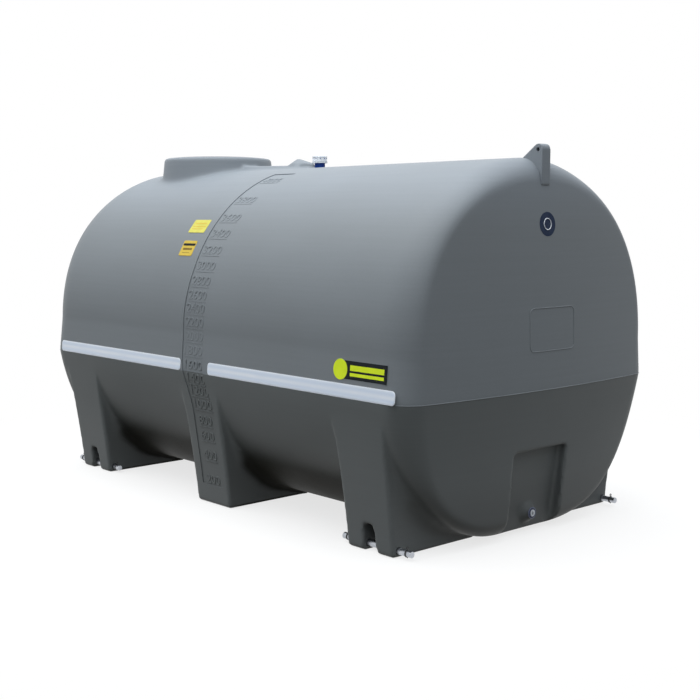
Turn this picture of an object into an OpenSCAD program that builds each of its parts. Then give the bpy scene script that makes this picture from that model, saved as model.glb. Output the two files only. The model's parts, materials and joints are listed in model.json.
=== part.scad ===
// Horizontal storage tank for diesel fuel, moulded in polyethylene, with six feet,
// lifting lugs, a manhole neck, a breather and tie-down pins.
// +X is the drain end, +Y is the far long side, +Z is up. Millimetres.

/* [Tank body] */
// Length over the crowned ends
body_l = 2600; // [2200:4:3400]
// Width over the sides, at the parting line
body_w = 1450; // [1150:10:1740]
// Height of the top of the tank above the ground
body_h = 1455; // [1200:5:1750]
// Height of the parting line between the upper and the lower half
part_z = 578; // [480:1:700]
// Height of the drafted side between the parting line and the arched roof
side_h = 165; // [80:5:260]
// How far that side leans in
side_lean = 13; // [0:1:40]
// Width of the flat under the belly, on each side of the middle
belly_flat = 120; // [60:5:200]
// Height of that flat above the ground
belly_z = 8; // [2:1:20]
// How far above the parting line the belly's curve would stand upright
belly_lift = 86; // [20:1:150]
// Wall of the moulding
wall = 12; // [8:0.5:16]

/* [Ends] */
// Length of each moulded end, from its joint with the barrel
end_l = 200; // [195:1:300]
// Crown radius of an end, across
crown_across = 5000; // [3000:100:8000]
// Crown radius of an end, up its upper half
crown_up = 8000; // [4500:100:20000]
// Crown radius of an end, down its lower half
crown_down = 2900; // [2000:50:6000]
// Inward lean of the lower half where it starts at the parting line, in degrees
end_lean = 3; // [1:0.5:6]
// Rounding of an end's corners at the parting line
corner_r = 100; // [50:1:110]
// Rounding of an end's shoulders
shoulder_r = 53; // [30:1:110]
// Rounding of an end's top edge
brow_r = 85; // [50:1:110]
// Rounding of an end's lower corners
chin_r = 36; // [30:1:110]
// Rounding of an end's bottom edge
keel_r = 85; // [40:1:110]

/* [Feet] */
// Distance from each end of the tank to the centre of its feet
foot_in_x = 312; // [308:1:480]
// Width of an end foot along the tank
foot_w = 246; // [200:1:260]
// Width of a middle foot at the ground
mid_foot_w = 236; // [180:1:300]
// Widening of a foot on each side, for each metre of height
foot_draft = 25; // [0:1:60]
// Distance that a foot's outer face stands in from the tank's side, at the ground
foot_under = 83; // [50:1:140]
// Distance from the middle to the inner edge of a foot at the ground
foot_in_y = 205; // [160:1:300]
// Rounding of a foot's outer edges
foot_r = 12; // [8:1:30]
// Rounding of those edges at the sole
sole_r = 9; // [5:1:20]
// Spread of the blend where a foot meets the belly
blend_w = 55; // [10:1:62]
// Height of that blend
blend_h = 75; // [20:1:100]

/* [Tie-down] */
// Width of the slot in an end foot
slot_w = 72; // [40:1:90]
// Height of the slot
slot_h = 109; // [70:1:130]
// Diameter of a tie-down pin
pin_d = 25; // [16:0.5:30]
// Length of a tie-down pin
pin_l = 365; // [300:1:420]
// Distance that a pin stands out of its foot towards the tank's end
pin_out = 70; // [64:1:110]
// Height of the pin's centre
pin_z = 25; // [20:1:45]
// Distance from a foot's outer face to the pin's centre
pin_in = 28; // [22:1:40]
// Cross hole in each end of a pin
pin_hole_d = 9; // [5:0.5:12]

/* [Manhole] */
// Distance from the plain end to the manhole's centre
hole_in_x = 470; // [455:1:560]
// Diameter of the neck at its rim
neck_d = 536; // [440:1:650]
// Height of the rim above the top of the tank
neck_h = 68; // [40:1:100]
// Sideways spread of the neck's wall, from rim to base
neck_draft = 16; // [0:1:30]
// Rounding of the rim
neck_r = 18; // [8:1:30]
// Width of the rim round the lid
rim_w = 41; // [26:1:60]
// Width of the shelf under the lid
shelf_w = 25; // [12:1:40]

/* [Top fittings] */
// Distance from the middle to the breather's centre
breather_x = 40; // [20:1:46]
// Diameter of the breather's threaded neck
breather_d = 44; // [30:1:60]
// Diameter of the breather's cap
cap_d = 66; // [48:1:76]
// Height of the breather's cap
cap_h = 36; // [24:1:50]
// Distance from the middle to the top of the fitting boss
boss_x = 190; // [184:1:240]
// Height of the fitting boss above the tank
boss_h = 46; // [25:1:70]
// Width of the ridge that runs from the neck to the boss
ridge_w = 100; // [60:1:140]
// Height of that ridge above the top of the tank, at the neck
ridge_h = 45; // [20:1:48]

/* [Lifting lugs] */
// Thickness of a lug
lug_t = 48; // [36:1:70]
// Height of a lug above the top of the tank
lug_h = 49; // [44:1:80]
// Distance from the end of the tank to the hole in its lug
lug_in_x = 57; // [48:1:80]
// Diameter of that hole
lug_hole_d = 16; // [10:0.5:20]

/* [Drain end] */
// Width of the recess for the drain
recess_w = 318; // [240:1:360]
// Height of the recess's top above the ground
recess_z = 348; // [280:1:400]
// Depth of the recess's floor from the crown of the end, at the recess's top
recess_x = 69; // [60:1:110]
// Inward lean of that floor, in degrees
recess_lean = 7; // [0:0.5:10]
// Rounding of the recess's upper corners
recess_r = 16; // [6:1:40]
// Height of the drain's centre
drain_z = 84; // [78:1:160]
// Distance from the crown of the end to the face of the drain's boss
drain_in_x = 75; // [74:1:100]
// Diameter of the drain bush
drain_d = 38; // [34:1:60]

/* [Side trim] */
// Height of a reflective strip
strip_h = 52; // [30:1:70]
// Thickness of a reflective strip
strip_t = 1.5; // [1:0.1:3]
// Distance from the drain end to its strips
strip_in_x = 119; // [114:1:400]
// Distance from the plain end to its strips
strip_rear_in_x = 147; // [114:1:400]
// Left edge of the volume scale panel, from the middle
scale_x = 98; // [80:1:110]
// Width of the volume scale panel
scale_w = 150; // [110:1:180]
// Depth of the volume scale panel
scale_t = 3; // [1.5:0.5:5]
// Lower end of the volume scale panel
scale_z = 76; // [50:1:120]

/* [Hidden] */

$fn = 64;
eps = 0.5;                    // overshoot of a cut past a face
fit = 0.3;                    // gap round a pin or plug that slides in
half_l = body_l / 2;
half_w = body_w / 2;
joint_x = half_l - end_l;     // where the barrel meets an end
foot_x = half_l - foot_in_x;
foot_y = half_w - foot_under;
hole_x = half_l - hole_in_x;
lug_x = half_l - lug_in_x;

roof_steps = 44;              // sides of the roof's outline
belly_steps = 14;             // sides of each belly curve
rim_steps = 5;                // rings round an end's corner
crown_rings = [0.82, 0.55, 0.28];
shoulder_a = 50;              // where the shoulder lies, in degrees above the parting line
chin_a = 45;                  // where the lower corner lies, in degrees below it
lid_gap = 2;                  // between the lid and the rim
lid_d = neck_d - 2 * (rim_w + lid_gap);
mouth_d = lid_d - 2 * shelf_w;
foot_top = part_z - 73;       // where a foot's outer face sinks into the belly
face_bow = 1.15;              // how the outer face bends: 1 is straight
face_steps = 8;
sole_steps = 5;
blend_steps = 5;
round_steps = 3;
toe_r = 10;                   // rounding of a foot's outer bottom edge
root_in = 60;                 // how far a foot's form starts inside the tank's skin
scale_steps = 10;
scale_top_y = 195;            // where the scale panel ends on the shoulder, from the middle

floor_x = half_l - recess_x;  // floor of the drain recess, at the recess's top
recess_taper = 16;            // how much each side of the recess closes in, down to the ground
drain_x = half_l - drain_in_x;
drain_boss_r = 23;            // radius of the boss at its face
slot_depth = 90;
pin_y = foot_y - pin_in;
pin_hole_in = 25;             // from a pin's end to its cross hole
pin_turn = 0.5;               // how much a pin's free end is turned down, and its length
pin_turn_l = 60;

rim_z = body_h + neck_h;
seat_z = rim_z - 22;          // shelf that the lid lies on
lid_h = 24;
neck_low = body_h - 120;      // the neck is cut to the tank from here up

boss_r = 22;                  // rounding of the fitting boss
boss_foot_r = 44;
boss_reach = 88;              // from the boss's top to its toe, along the tank
boss_toe_r = 18;
step_h = 20;                  // how far the boss's foot and toe stand above the tank
ridge_low = 10;               // height of the ridge at the boss
seat_gap = 0.4;               // kept clear round the neck where the ridge meets it
breather_bore = breather_d - 14;
thread_h = 20;
lug_round = 22;               // radius round a lug's hole
lug_back = 84;                // how far a lug runs back from its eye
bush_bore = drain_d - 8;      // hole in the wall for the drain bush
bush_h = 2;
bush_l = 56;                  // length of the bush inside its boss
plug_d = bush_bore - 6;
plug_head_d = plug_d + 3;
plug_head_h = 3;
strip_gap = 42;               // from the scale panel to a rear strip
strip_front_gap = 56;         // from the scale panel to a front strip

body_grey = [0.45, 0.48, 0.50];
steel = [0.75, 0.76, 0.78];

function mix(a, b, u) = a + (b - a) * u;
function ease(u) = (1 - cos(180 * u)) / 2;

// --- Cross-section of the tank as [y, z] points, offset inwards by "inset" ---

roof_z = part_z + side_h;     // where the roof springs from the sides

function roof_point(t, inset) = [
    (half_w - side_lean - inset) * cos(t),
    roof_z + (body_h - roof_z - inset) * sin(t)
];

// The belly curve is part of an ellipse that passes through the parting line
belly_c = [belly_flat, part_z + belly_lift];
belly_rise = belly_c.y - belly_z;
belly_a = asin(belly_lift / belly_rise);
belly_reach = (half_w - belly_flat) / cos(belly_a);

function belly_point(a, inset) = [
    belly_c.x + (belly_reach - inset) * cos(a),
    belly_c.y - (belly_rise - inset) * sin(a)
];

function section(inset = 0) =
    let (right = [for (k = [0:belly_steps])
        belly_point(mix(belly_a, 90, k / belly_steps), inset)])
    concat(
        [for (i = [0:roof_steps]) roof_point(180 * i / roof_steps, inset)],
        [for (p = right) [-p.x, p.y]],
        [for (k = [belly_steps:-1:0]) right[k]]
    );

// Solid that fills the tank's straight length, from x0 to x1
module section_bar(x0, x1, inset = 0) {
    translate([x0, 0, 0])
        rotate([90, 0, 90])
            linear_extrude(x1 - x0)
                polygon(section(inset));
}

// --- Crowned end, facing +X ---

function face_x(y, z, inset = 0) =
    let (up = max(0, z - part_z), down = max(0, part_z - z))
    half_l - inset - y * y / (2 * crown_across) - up * up / (2 * crown_up)
        - down * down / (2 * crown_down) - down * tan(end_lean);

// Reach of the corner rounding at "t" degrees above the parting line
function rim_reach(t) =
    t >= shoulder_a ? mix(shoulder_r, brow_r, ease((t - shoulder_a) / (90 - shoulder_a)))
    : t >= 0 ? mix(corner_r, shoulder_r, ease(t / shoulder_a))
    : t >= -chin_a ? mix(corner_r, chin_r, ease(-t / chin_a))
    : mix(chin_r, keel_r, ease((-t - chin_a) / (90 - chin_a)));

// Point on the end behind outline point b: "share" is the way in from the rounding's
// inner edge to the middle, and "phi" the way round the rounding
function end_point(b, phi, share, inset) =
    let (reach = max(15, rim_reach(atan2(b.y - part_z, abs(b.x))) - inset),
         scale_in = (1 - reach * (1 - cos(phi)) / norm(b - [0, part_z])) * share,
         y = b.x * scale_in,
         z = part_z + (b.y - part_z) * scale_in)
    [face_x(y, z, inset) - reach * (1 - sin(phi)), y, z];

function end_rings(inset, back, outline) = concat(
    [[for (b = outline) [joint_x - back, b.x, b.y]]],
    [for (j = [0:rim_steps]) [for (b = outline) end_point(b, 90 * j / rim_steps, 1, inset)]],
    [for (share = crown_rings) [for (b = outline) end_point(b, 90, share, inset)]]
);

// Closed solid of an end. "back" is how far it runs past the joint.
module end_form(inset = 0, back = 0) {
    outline = section(inset);
    rings = end_rings(inset, back, outline);
    count = len(outline);
    last = len(rings) - 1;
    skin = [for (j = [0:last - 1], i = [0:count - 1], h = [0, 1])
        let (a = j * count + i, b = j * count + (i + 1) % count)
        h == 0 ? [a, a + count, b] : [b, a + count, b + count]];
    tip = [for (i = [0:count - 1])
        [last * count + i, (last + 1) * count, last * count + (i + 1) % count]];
    points = concat([for (ring = rings, p = ring) p], [[face_x(0, part_z, inset), 0, part_z]]);
    polyhedron(points, concat([[for (i = [0:count - 1]) i]], skin, tip));
}

// The slice of an end between outline points i0 and i1, down to the tank's axis,
// to cut what seats on that part of it
module end_slice(i0, i1) {
    outline = section();
    rings = end_rings(0, 0, [for (i = [i0:i1]) outline[i]]);
    count = i1 - i0 + 1;
    last = len(rings) - 1;
    back_mid = (last + 1) * count;
    front_mid = back_mid + 1;
    skin = [for (j = [0:last - 1], i = [0:count - 2], h = [0, 1])
        let (a = j * count + i, b = a + 1)
        h == 0 ? [a, a + count, b] : [b, a + count, b + count]];
    tip = [for (i = [0:count - 2]) [last * count + i, front_mid, last * count + i + 1]];
    back = [for (i = [0:count - 2]) [i, i + 1, back_mid]];
    walls = [
        concat([back_mid], [front_mid], [for (j = [last:-1:0]) j * count]),
        concat([for (j = [0:last]) j * count + count - 1], [front_mid, back_mid])
    ];
    points = concat([for (ring = rings, p = ring) p],
        [[joint_x, 0, part_z], [face_x(0, part_z), 0, part_z]]);
    polyhedron(points, concat(skin, tip, back, walls));
}

// --- Body of the tank ---

// Solid left over when the tank's straight length is taken from a cut's block
module skin_cut(depth) {
    difference() {
        children();
        section_bar(-half_l, half_l, depth);
    }
}

module scale_block() {
    translate([-scale_x, -half_w - 20, scale_z])
        cube([scale_w, half_w + 20 - scale_top_y, body_h]);
}

module barrel() {
    color(body_grey)
        difference() {
            section_bar(-joint_x, joint_x);
            section_bar(-joint_x - eps, joint_x + eps, wall);
            translate([-hole_x, 0, part_z])
                cylinder(d = mouth_d, h = body_h);
            translate([-breather_x, 0, part_z])
                cylinder(d = breather_bore, h = body_h);
            skin_cut(scale_t)
                scale_block();
        }
}

// Pocket round the drain, open at the end's face and below
module recess_form(grow) {
    half = recess_w / 2 + grow;
    r = recess_r + grow;
    low = -40;
    translate([floor_x - grow, 0, recess_z])
        rotate([0, recess_lean, 0])
            translate([0, 0, -recess_z])
                rotate([90, 0, 90])
                    linear_extrude(recess_x + grow + 20)
                        hull() {
                            for (s = [-1, 1])
                                translate([s * (half - r), recess_z + grow - r])
                                    circle(r);
                            polygon([[-half + recess_taper, low], [half - recess_taper, low],
                                     [0, recess_z / 2]]);
                        }
}

// Moulded boss that carries the drain bush
module drain_boss() {
    translate([drain_x - 60, 0, drain_z])
        rotate([0, 90, 0])
            cylinder(r1 = drain_boss_r + 40, r2 = drain_boss_r, h = 60);
}

module drain_end() {
    color(body_grey)
        difference() {
            end_form();
            difference() {
                recess_form(0);
                drain_boss();
            }
            difference() {
                end_form(wall, eps);
                recess_form(wall);
            }
            translate([drain_x - 90, 0, drain_z])
                rotate([0, 90, 0])
                    cylinder(d = bush_bore + 2 * fit, h = 120);
        }
}

module plain_end() {
    color(body_grey)
        rotate([0, 0, 180])
            difference() {
                end_form();
                end_form(wall, eps);
            }
}

// --- Feet: each is a loft of rays that fan out from the centre of the belly's curve ---

function foot_face_y(z) = foot_y + (half_w - foot_y) * pow(z / part_z, face_bow);

// Foot's outline seen along the tank: down the outer face, round the toe, in along the ground
foot_outline = concat(
    [for (i = [0:face_steps]) let (z = foot_top + (toe_r - foot_top) * i / face_steps)
        [foot_face_y(z), z]],
    [[foot_y - 0.29 * toe_r, 0.29 * toe_r]],
    [for (i = [0:sole_steps]) let (y0 = foot_y - toe_r)
        [y0 + (foot_in_y - y0) * i / sole_steps, 0]]
);

// Ring of points [x, y, z] on the ray through outline point q
function foot_ring(q, width) =
    let (out = (q - belly_c) / norm(q - belly_c),
         skin = 1 / norm([out.x / belly_reach, out.y / belly_rise]),
         far = norm(q - belly_c) - skin,
         rise = min(blend_h, max(far, 1) * 0.6),
         round = min(mix(sole_r, foot_r, min(1, q.y / 80)), max(far, 1) * 0.35),
         spread = blend_w * rise / blend_h,
         half = width / 2 + foot_draft * q.y / 1000,
         side = concat(
             [[half + spread, -root_in]],
             [for (j = [0:blend_steps]) let (a = 90 * j / blend_steps)
                 [half + spread * (1 - sin(a)), min(rise * (1 - cos(a)), far - round)]],
             [for (j = [0:round_steps]) let (a = 90 * j / round_steps)
                 [half - round * (1 - cos(a)), far - round * (1 - sin(a))]]),
         last = len(side) - 1,
         loop = concat(side, [for (j = [last:-1:0]) [-side[j].x, side[j].y]]))
    [for (p = loop) let (at = belly_c + out * (skin + p.y)) [p.x, at.x, at.y]];

module foot_form(width) {
    rings = [for (q = foot_outline) foot_ring(q, width)];
    count = len(rings[0]);
    rows = len(rings);
    skin = [for (j = [0:rows - 2], i = [0:count - 1], h = [0, 1])
        let (a = j * count + i, b = j * count + (i + 1) % count)
        h == 0 ? [a, b, a + count] : [b, b + count, a + count]];
    first = [for (i = [count - 1:-1:0]) i];
    final = [for (i = [0:count - 1]) (rows - 1) * count + i];
    polyhedron([for (ring = rings, p = ring) p], concat([first], skin, [final]));
}

// End foot, on the +X +Y corner
module end_foot() {
    color(body_grey)
        difference() {
            translate([foot_x, 0, 0])
                foot_form(foot_w);
            section_bar(-joint_x, joint_x);
            end_slice(roof_steps + belly_steps + 2, roof_steps + 2 * belly_steps + 2);
            tie_down_cut();
        }
}

module end_foot_at(end, side) {
    mirror([end < 0 ? 1 : 0, 0, 0])
        mirror([0, side < 0 ? 1 : 0, 0])
            end_foot();
}

module middle_foot() {
    color(body_grey)
        difference() {
            foot_form(mid_foot_w);
            section_bar(-joint_x, joint_x);
        }
}

// Slot in a foot, open outwards and below, and the bore for its pin
module tie_down_cut() {
    top_r = 0.2 * slot_w;
    translate([foot_x, foot_y + 60, 0])
        rotate([90, 0, 0])
            linear_extrude(slot_depth + 60)
                hull() {
                    translate([-slot_w / 2, -1])
                        square([slot_w, 1]);
                    for (s = [-1, 1])
                        translate([s * 0.17 * slot_w, slot_h - top_r])
                            circle(top_r);
                }
    translate([foot_x - foot_w, pin_y, pin_z])
        rotate([0, 90, 0])
            cylinder(d = pin_d + 2 * fit, h = 2 * foot_w);
}

// Lower stretch of the volume scale panel, let into the near middle foot
module foot_scale_cut() {
    mirror([0, 1, 0])
        translate([-scale_x, 0, 0])
            rotate([90, 0, 90])
                linear_extrude(scale_w)
                    polygon(concat(
                        [[half_w, scale_z]],
                        [for (i = [0:scale_steps])
                            let (z = scale_z + (part_z - scale_z) * i / scale_steps)
                            [foot_face_y(z) - scale_t, z]],
                        [[half_w + 20, part_z], [half_w + 20, scale_z]]
                    ));
}

module foot_front_near() end_foot_at(1, -1);
module foot_front_far() end_foot_at(1, 1);
module foot_rear_near() end_foot_at(-1, -1);
module foot_rear_far() end_foot_at(-1, 1);

module foot_middle_near() {
    difference() {
        mirror([0, 1, 0])
            middle_foot();
        foot_scale_cut();
    }
}

module foot_middle_far() middle_foot();

// --- Tie-down pins, along the tank through the end feet ---

module tie_pin(end, side) {
    outer = foot_x + foot_w / 2 + pin_out;
    r = pin_d / 2;
    color(steel)
        translate([end * outer, side * pin_y, pin_z])
            rotate([0, -90 * end, 0])
                difference() {
                    rotate_extrude()
                        polygon([[0, 0], [r - pin_turn - 1, 0], [r - pin_turn, 1],
                                 [r - pin_turn, pin_turn_l], [r, pin_turn_l],
                                 [r, pin_l - 1.5], [r - 1.5, pin_l], [0, pin_l]]);
                    for (at = [pin_hole_in, pin_l - pin_hole_in])
                        translate([-pin_d, 0, at])
                            rotate([0, 90, 0])
                                cylinder(d = pin_hole_d, h = 2 * pin_d);
                }
}

module tie_pin_front_near() tie_pin(1, -1);
module tie_pin_front_far() tie_pin(1, 1);
module tie_pin_rear_near() tie_pin(-1, -1);
module tie_pin_rear_far() tie_pin(-1, 1);

// --- Manhole ---

// Neck without its opening, made larger all round by "grow"
module neck_form(grow = 0) {
    rim = neck_d / 2 + grow;
    translate([-hole_x, 0, 0])
        rotate_extrude()
            polygon([[0, neck_low], [rim + neck_draft, neck_low],
                     [rim + neck_draft * 0.35, body_h], [rim, rim_z - neck_r],
                     for (a = [15:15:90])
                         [rim - neck_r * (1 - cos(a)), rim_z - neck_r * (1 - sin(a))],
                     [0, rim_z]]);
}

module manhole_neck() {
    color(body_grey)
        difference() {
            neck_form();
            translate([-hole_x, 0, neck_low - eps])
                cylinder(d = mouth_d, h = rim_z);
            translate([-hole_x, 0, seat_z])
                cylinder(r = lid_d / 2 + lid_gap, h = 100);
            section_bar(-half_l, half_l);
        }
}

module manhole_lid() {
    color([0.16, 0.17, 0.18])
        translate([-hole_x, 0, seat_z])
            rotate_extrude()
                polygon([[0, 0], [lid_d / 2, 0], [lid_d / 2, lid_h - 3], [lid_d / 2 - 3, lid_h],
                         [lid_d / 2 - 26, lid_h], [lid_d / 2 - 32, lid_h - 5], [0, lid_h - 5]]);
}

// --- Fittings on top ---

module ridge_form() {
    root = body_h - 60;
    hull() {
        translate([-hole_x + neck_d / 2, 0, root])
            cylinder(d = ridge_w, h = 60 + ridge_h);
        translate([-boss_x, 0, root])
            cylinder(d = ridge_w, h = 60 + ridge_low);
    }
}

module top_pad() {
    color(body_grey)
        difference() {
            ridge_form();
            section_bar(-half_l, half_l);
            neck_form(seat_gap);
        }
}

module fitting_boss() {
    root = body_h - 30;
    color(body_grey)
        difference() {
            hull() {
                translate([-boss_x, 0, body_h + boss_h - boss_r])
                    sphere(boss_r, $fn = 24);
                translate([-boss_x, 0, root])
                    cylinder(r = boss_foot_r, h = 30 + step_h, $fn = 32);
                translate([-boss_x + boss_reach, 0, root])
                    cylinder(r = boss_toe_r, h = 30 + step_h, $fn = 32);
            }
            section_bar(-half_l, half_l);
            ridge_form();
        }
}

module breather_neck() {
    color([0.05, 0.22, 0.55])
        translate([-breather_x, 0, 0])
            difference() {
                union() {
                    translate([0, 0, body_h])
                        cylinder(d = breather_d, h = thread_h);
                    translate([0, 0, body_h - wall - 6])
                        cylinder(d = breather_bore - 2 * fit, h = wall + 7);
                }
                translate([0, 0, body_h - wall - 10])
                    cylinder(d = breather_bore - 8, h = 100);
            }
}

module breather_cap() {
    color([0.92, 0.94, 0.96])
        translate([-breather_x, 0, body_h + thread_h])
            difference() {
                rotate_extrude()
                    polygon([[0, 0], [cap_d / 2, 0], [cap_d / 2 + 2, 2], [cap_d / 2 + 2, 5],
                             [cap_d / 2, 7], [cap_d / 2, cap_h - 8],
                             [cap_d / 2 - 5, cap_h - 3], [cap_d / 2 - 14, cap_h], [0, cap_h]]);
                for (i = [0:11])
                    rotate([0, 0, 30 * i])
                        translate([cap_d / 2 - 2.5, -2.5, 9])
                            cube([6, 5, cap_h]);
            }
}

// --- Lifting lugs ---

module lifting_lug(end) {
    eye_z = body_h + lug_h - lug_round;
    rotate([0, 0, end > 0 ? 0 : 180])
        color(body_grey)
            difference() {
                translate([0, lug_t / 2, 0])
                    rotate([90, 0, 0])
                        linear_extrude(lug_t)
                            hull() {
                                translate([lug_x, eye_z])
                                    circle(lug_round);
                                translate([lug_x + lug_round - 10, body_h - 100])
                                    circle(10);
                                polygon([[lug_x - lug_back, body_h - 8],
                                         [lug_x - lug_back, body_h - 100],
                                         [lug_x, body_h - 100]]);
                            }
                section_bar(-half_l, joint_x);
                end_slice(roof_steps / 2 - 2, roof_steps / 2 + 2);
                translate([lug_x, lug_t, eye_z])
                    rotate([90, 0, 0])
                        cylinder(d = lug_hole_d, h = 2 * lug_t);
            }
}

module lifting_lug_front() lifting_lug(1);
module lifting_lug_rear() lifting_lug(-1);

// --- Drain ---

module drain_bush() {
    color([0.10, 0.12, 0.20])
        translate([drain_x, 0, drain_z])
            rotate([0, 90, 0])
                difference() {
                    union() {
                        cylinder(d = drain_d, h = bush_h);
                        translate([0, 0, -bush_l])
                            cylinder(d = bush_bore, h = bush_l + 1);
                    }
                    translate([0, 0, -bush_l - 1])
                        cylinder(d = plug_d + 2 * fit, h = 100);
                }
}

module drain_plug() {
    color([0.85, 0.86, 0.88])
        translate([drain_x, 0, drain_z])
            rotate([0, 90, 0])
                difference() {
                    union() {
                        translate([0, 0, -24])
                            cylinder(d = plug_d, h = 24 + bush_h);
                        translate([0, 0, bush_h])
                            cylinder(d = plug_head_d, h = plug_head_h);
                    }
                    translate([0, 0, bush_h + 0.5])
                        cylinder(d = 11, h = 20, $fn = 6);
                }
}

// --- Reflective strips along the parting line ---

module strip(end, side) {
    inner = end > 0 ? scale_w - scale_x + strip_front_gap : scale_x + strip_gap;
    outer = half_l - (end > 0 ? strip_in_x : strip_rear_in_x);
    color([0.85, 0.87, 0.90])
        mirror([end < 0 ? 1 : 0, 0, 0])
            intersection() {
                difference() {
                    section_bar(inner - eps, outer + eps, -strip_t);
                    section_bar(-half_l, half_l);
                }
                translate([inner, side > 0 ? half_w - 40 : -half_w - 40, part_z])
                    strip_outline(outer - inner);
            }
}

module strip_outline(length) {
    r = strip_h / 2;
    translate([0, 80, 0])
        rotate([90, 0, 0])
            linear_extrude(80) {
                for (x = [r, length - r])
                    translate([x, r])
                        circle(r);
                translate([r, 0])
                    square([length - 2 * r, strip_h]);
            }
}

module strip_front_near() strip(1, -1);
module strip_rear_near() strip(-1, -1);
module strip_front_far() strip(1, 1);
module strip_rear_far() strip(-1, 1);

barrel();
drain_end();
plain_end();
foot_front_near();
foot_front_far();
foot_middle_near();
foot_middle_far();
foot_rear_near();
foot_rear_far();
tie_pin_front_near();
tie_pin_front_far();
tie_pin_rear_near();
tie_pin_rear_far();
manhole_neck();
manhole_lid();
top_pad();
fitting_boss();
breather_neck();
breather_cap();
lifting_lug_front();
lifting_lug_rear();
drain_bush();
drain_plug();
strip_front_near();
strip_rear_near();
strip_front_far();
strip_rear_far();
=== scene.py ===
"""Looks of a moulded polyethylene tank for diesel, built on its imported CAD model."""

from __future__ import annotations

import json
import logging
import math
from contextlib import contextmanager
from dataclasses import dataclass, field
from enum import Enum
from typing import Callable, Iterable, Iterator

import bpy
from mathutils import Matrix, Vector

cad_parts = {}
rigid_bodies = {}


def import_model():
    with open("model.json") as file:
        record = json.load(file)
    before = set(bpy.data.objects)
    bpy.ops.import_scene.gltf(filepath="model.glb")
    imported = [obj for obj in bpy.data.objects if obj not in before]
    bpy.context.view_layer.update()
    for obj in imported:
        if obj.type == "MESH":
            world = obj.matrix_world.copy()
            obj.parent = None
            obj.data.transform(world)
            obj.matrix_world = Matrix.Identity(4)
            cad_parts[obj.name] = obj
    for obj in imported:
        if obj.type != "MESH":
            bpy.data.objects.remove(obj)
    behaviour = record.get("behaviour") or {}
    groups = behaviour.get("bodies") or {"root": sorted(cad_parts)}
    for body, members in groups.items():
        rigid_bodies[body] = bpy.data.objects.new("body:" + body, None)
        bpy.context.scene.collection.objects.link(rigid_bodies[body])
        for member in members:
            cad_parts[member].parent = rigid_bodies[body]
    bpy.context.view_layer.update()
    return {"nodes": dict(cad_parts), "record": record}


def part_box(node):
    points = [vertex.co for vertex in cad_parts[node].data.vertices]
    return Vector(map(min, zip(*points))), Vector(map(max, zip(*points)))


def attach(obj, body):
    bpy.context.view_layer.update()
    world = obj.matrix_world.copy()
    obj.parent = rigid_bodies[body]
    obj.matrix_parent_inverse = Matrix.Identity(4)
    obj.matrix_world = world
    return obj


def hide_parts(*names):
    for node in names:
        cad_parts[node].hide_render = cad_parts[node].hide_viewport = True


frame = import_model()

LOG = logging.getLogger("tank")
PARTING_Z = 0.578
TINY = 1e-5  # points closer than this are one
ROUND = 80  # degrees up to which a round section shades as smooth
PLATE_UNDER, PLATE_OVER = -0.001, 0.0006  # a sticker's two faces, from the skin
ALONG, ACROSS, UP = Vector((1, 0, 0)), Vector((0, 1, 0)), Vector((0, 0, 1))

Obj = bpy.types.Object
Socket = bpy.types.NodeSocket
Material = bpy.types.Material
Colour = tuple[float, float, float]
Box = tuple[tuple[float, float, float], tuple[float, float, float]]


class Way(Enum):
    """One of two opposite ways from the middle of the tank."""

    @property
    def word(self) -> str:
        """Its name as the nodes spell it."""
        return self.name.lower()


class Side(Way):
    """The two long sides of the tank."""

    NEAR = -1
    FAR = 1


class End(Way):
    """The two crowned ends of the tank."""

    REAR = -1
    FRONT = 1


CORNERS = [(end, side) for end in End for side in Side]


# --- Modelling helpers ---


def deselect() -> None:
    """Leave edit mode and deselect every object."""
    if bpy.context.object and bpy.context.object.mode != "OBJECT":
        bpy.ops.object.mode_set(mode="OBJECT")
    bpy.ops.object.select_all(action="DESELECT")


def activate(obj: Obj) -> None:
    """Select one object alone and make it active.

    Args:
        obj: The object.
    """
    deselect()
    obj.select_set(True)
    bpy.context.view_layer.objects.active = obj


@contextmanager
def editing(obj: Obj, select: str = "SELECT", mode: str = "") -> Iterator[None]:
    """Hold an object in edit mode.

    Args:
        obj: The mesh object to edit.
        select: SELECT or DESELECT, for all of it.
        mode: VERT or EDGE, or empty to leave the way of selecting.
    """
    activate(obj)
    bpy.ops.object.mode_set(mode="EDIT")
    if mode:
        bpy.ops.mesh.select_mode(type=mode)
    bpy.ops.mesh.select_all(action=select)
    yield
    bpy.ops.object.mode_set(mode="OBJECT")


def rename(obj: Obj, name: str) -> Obj:
    """Name an object and its mesh."""
    obj.name = obj.data.name = name
    return obj


def settle(obj: Obj, name: str) -> Obj:
    """Name an object and apply its transform.

    Args:
        obj: The object.
        name: Its new name.

    Returns:
        The same object, at the origin and unturned.
    """
    activate(obj)
    bpy.ops.object.transform_apply(location=True, rotation=True, scale=True)
    return rename(obj, name)


def modify(obj: Obj, kind: str, **settings: object) -> Obj:
    """Add a modifier with the given settings and apply it.

    Args:
        obj: The mesh object to change.
        kind: The modifier's type.
        settings: The modifier's values.

    Returns:
        The same object.
    """
    activate(obj)
    modifier = obj.modifiers.new(kind.title(), kind)
    for key, value in settings.items():
        setattr(modifier, key, value)
    bpy.ops.object.modifier_apply(modifier=modifier.name)
    return obj


def blend_voxels(obj: Obj, size: float, passes: int) -> None:
    """Fuse an object's parts at a cell size, and take off the steps."""
    modify(obj, "REMESH", mode="VOXEL", voxel_size=size, use_smooth_shade=True)
    modify(obj, "SMOOTH", factor=0.5, iterations=passes)


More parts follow.
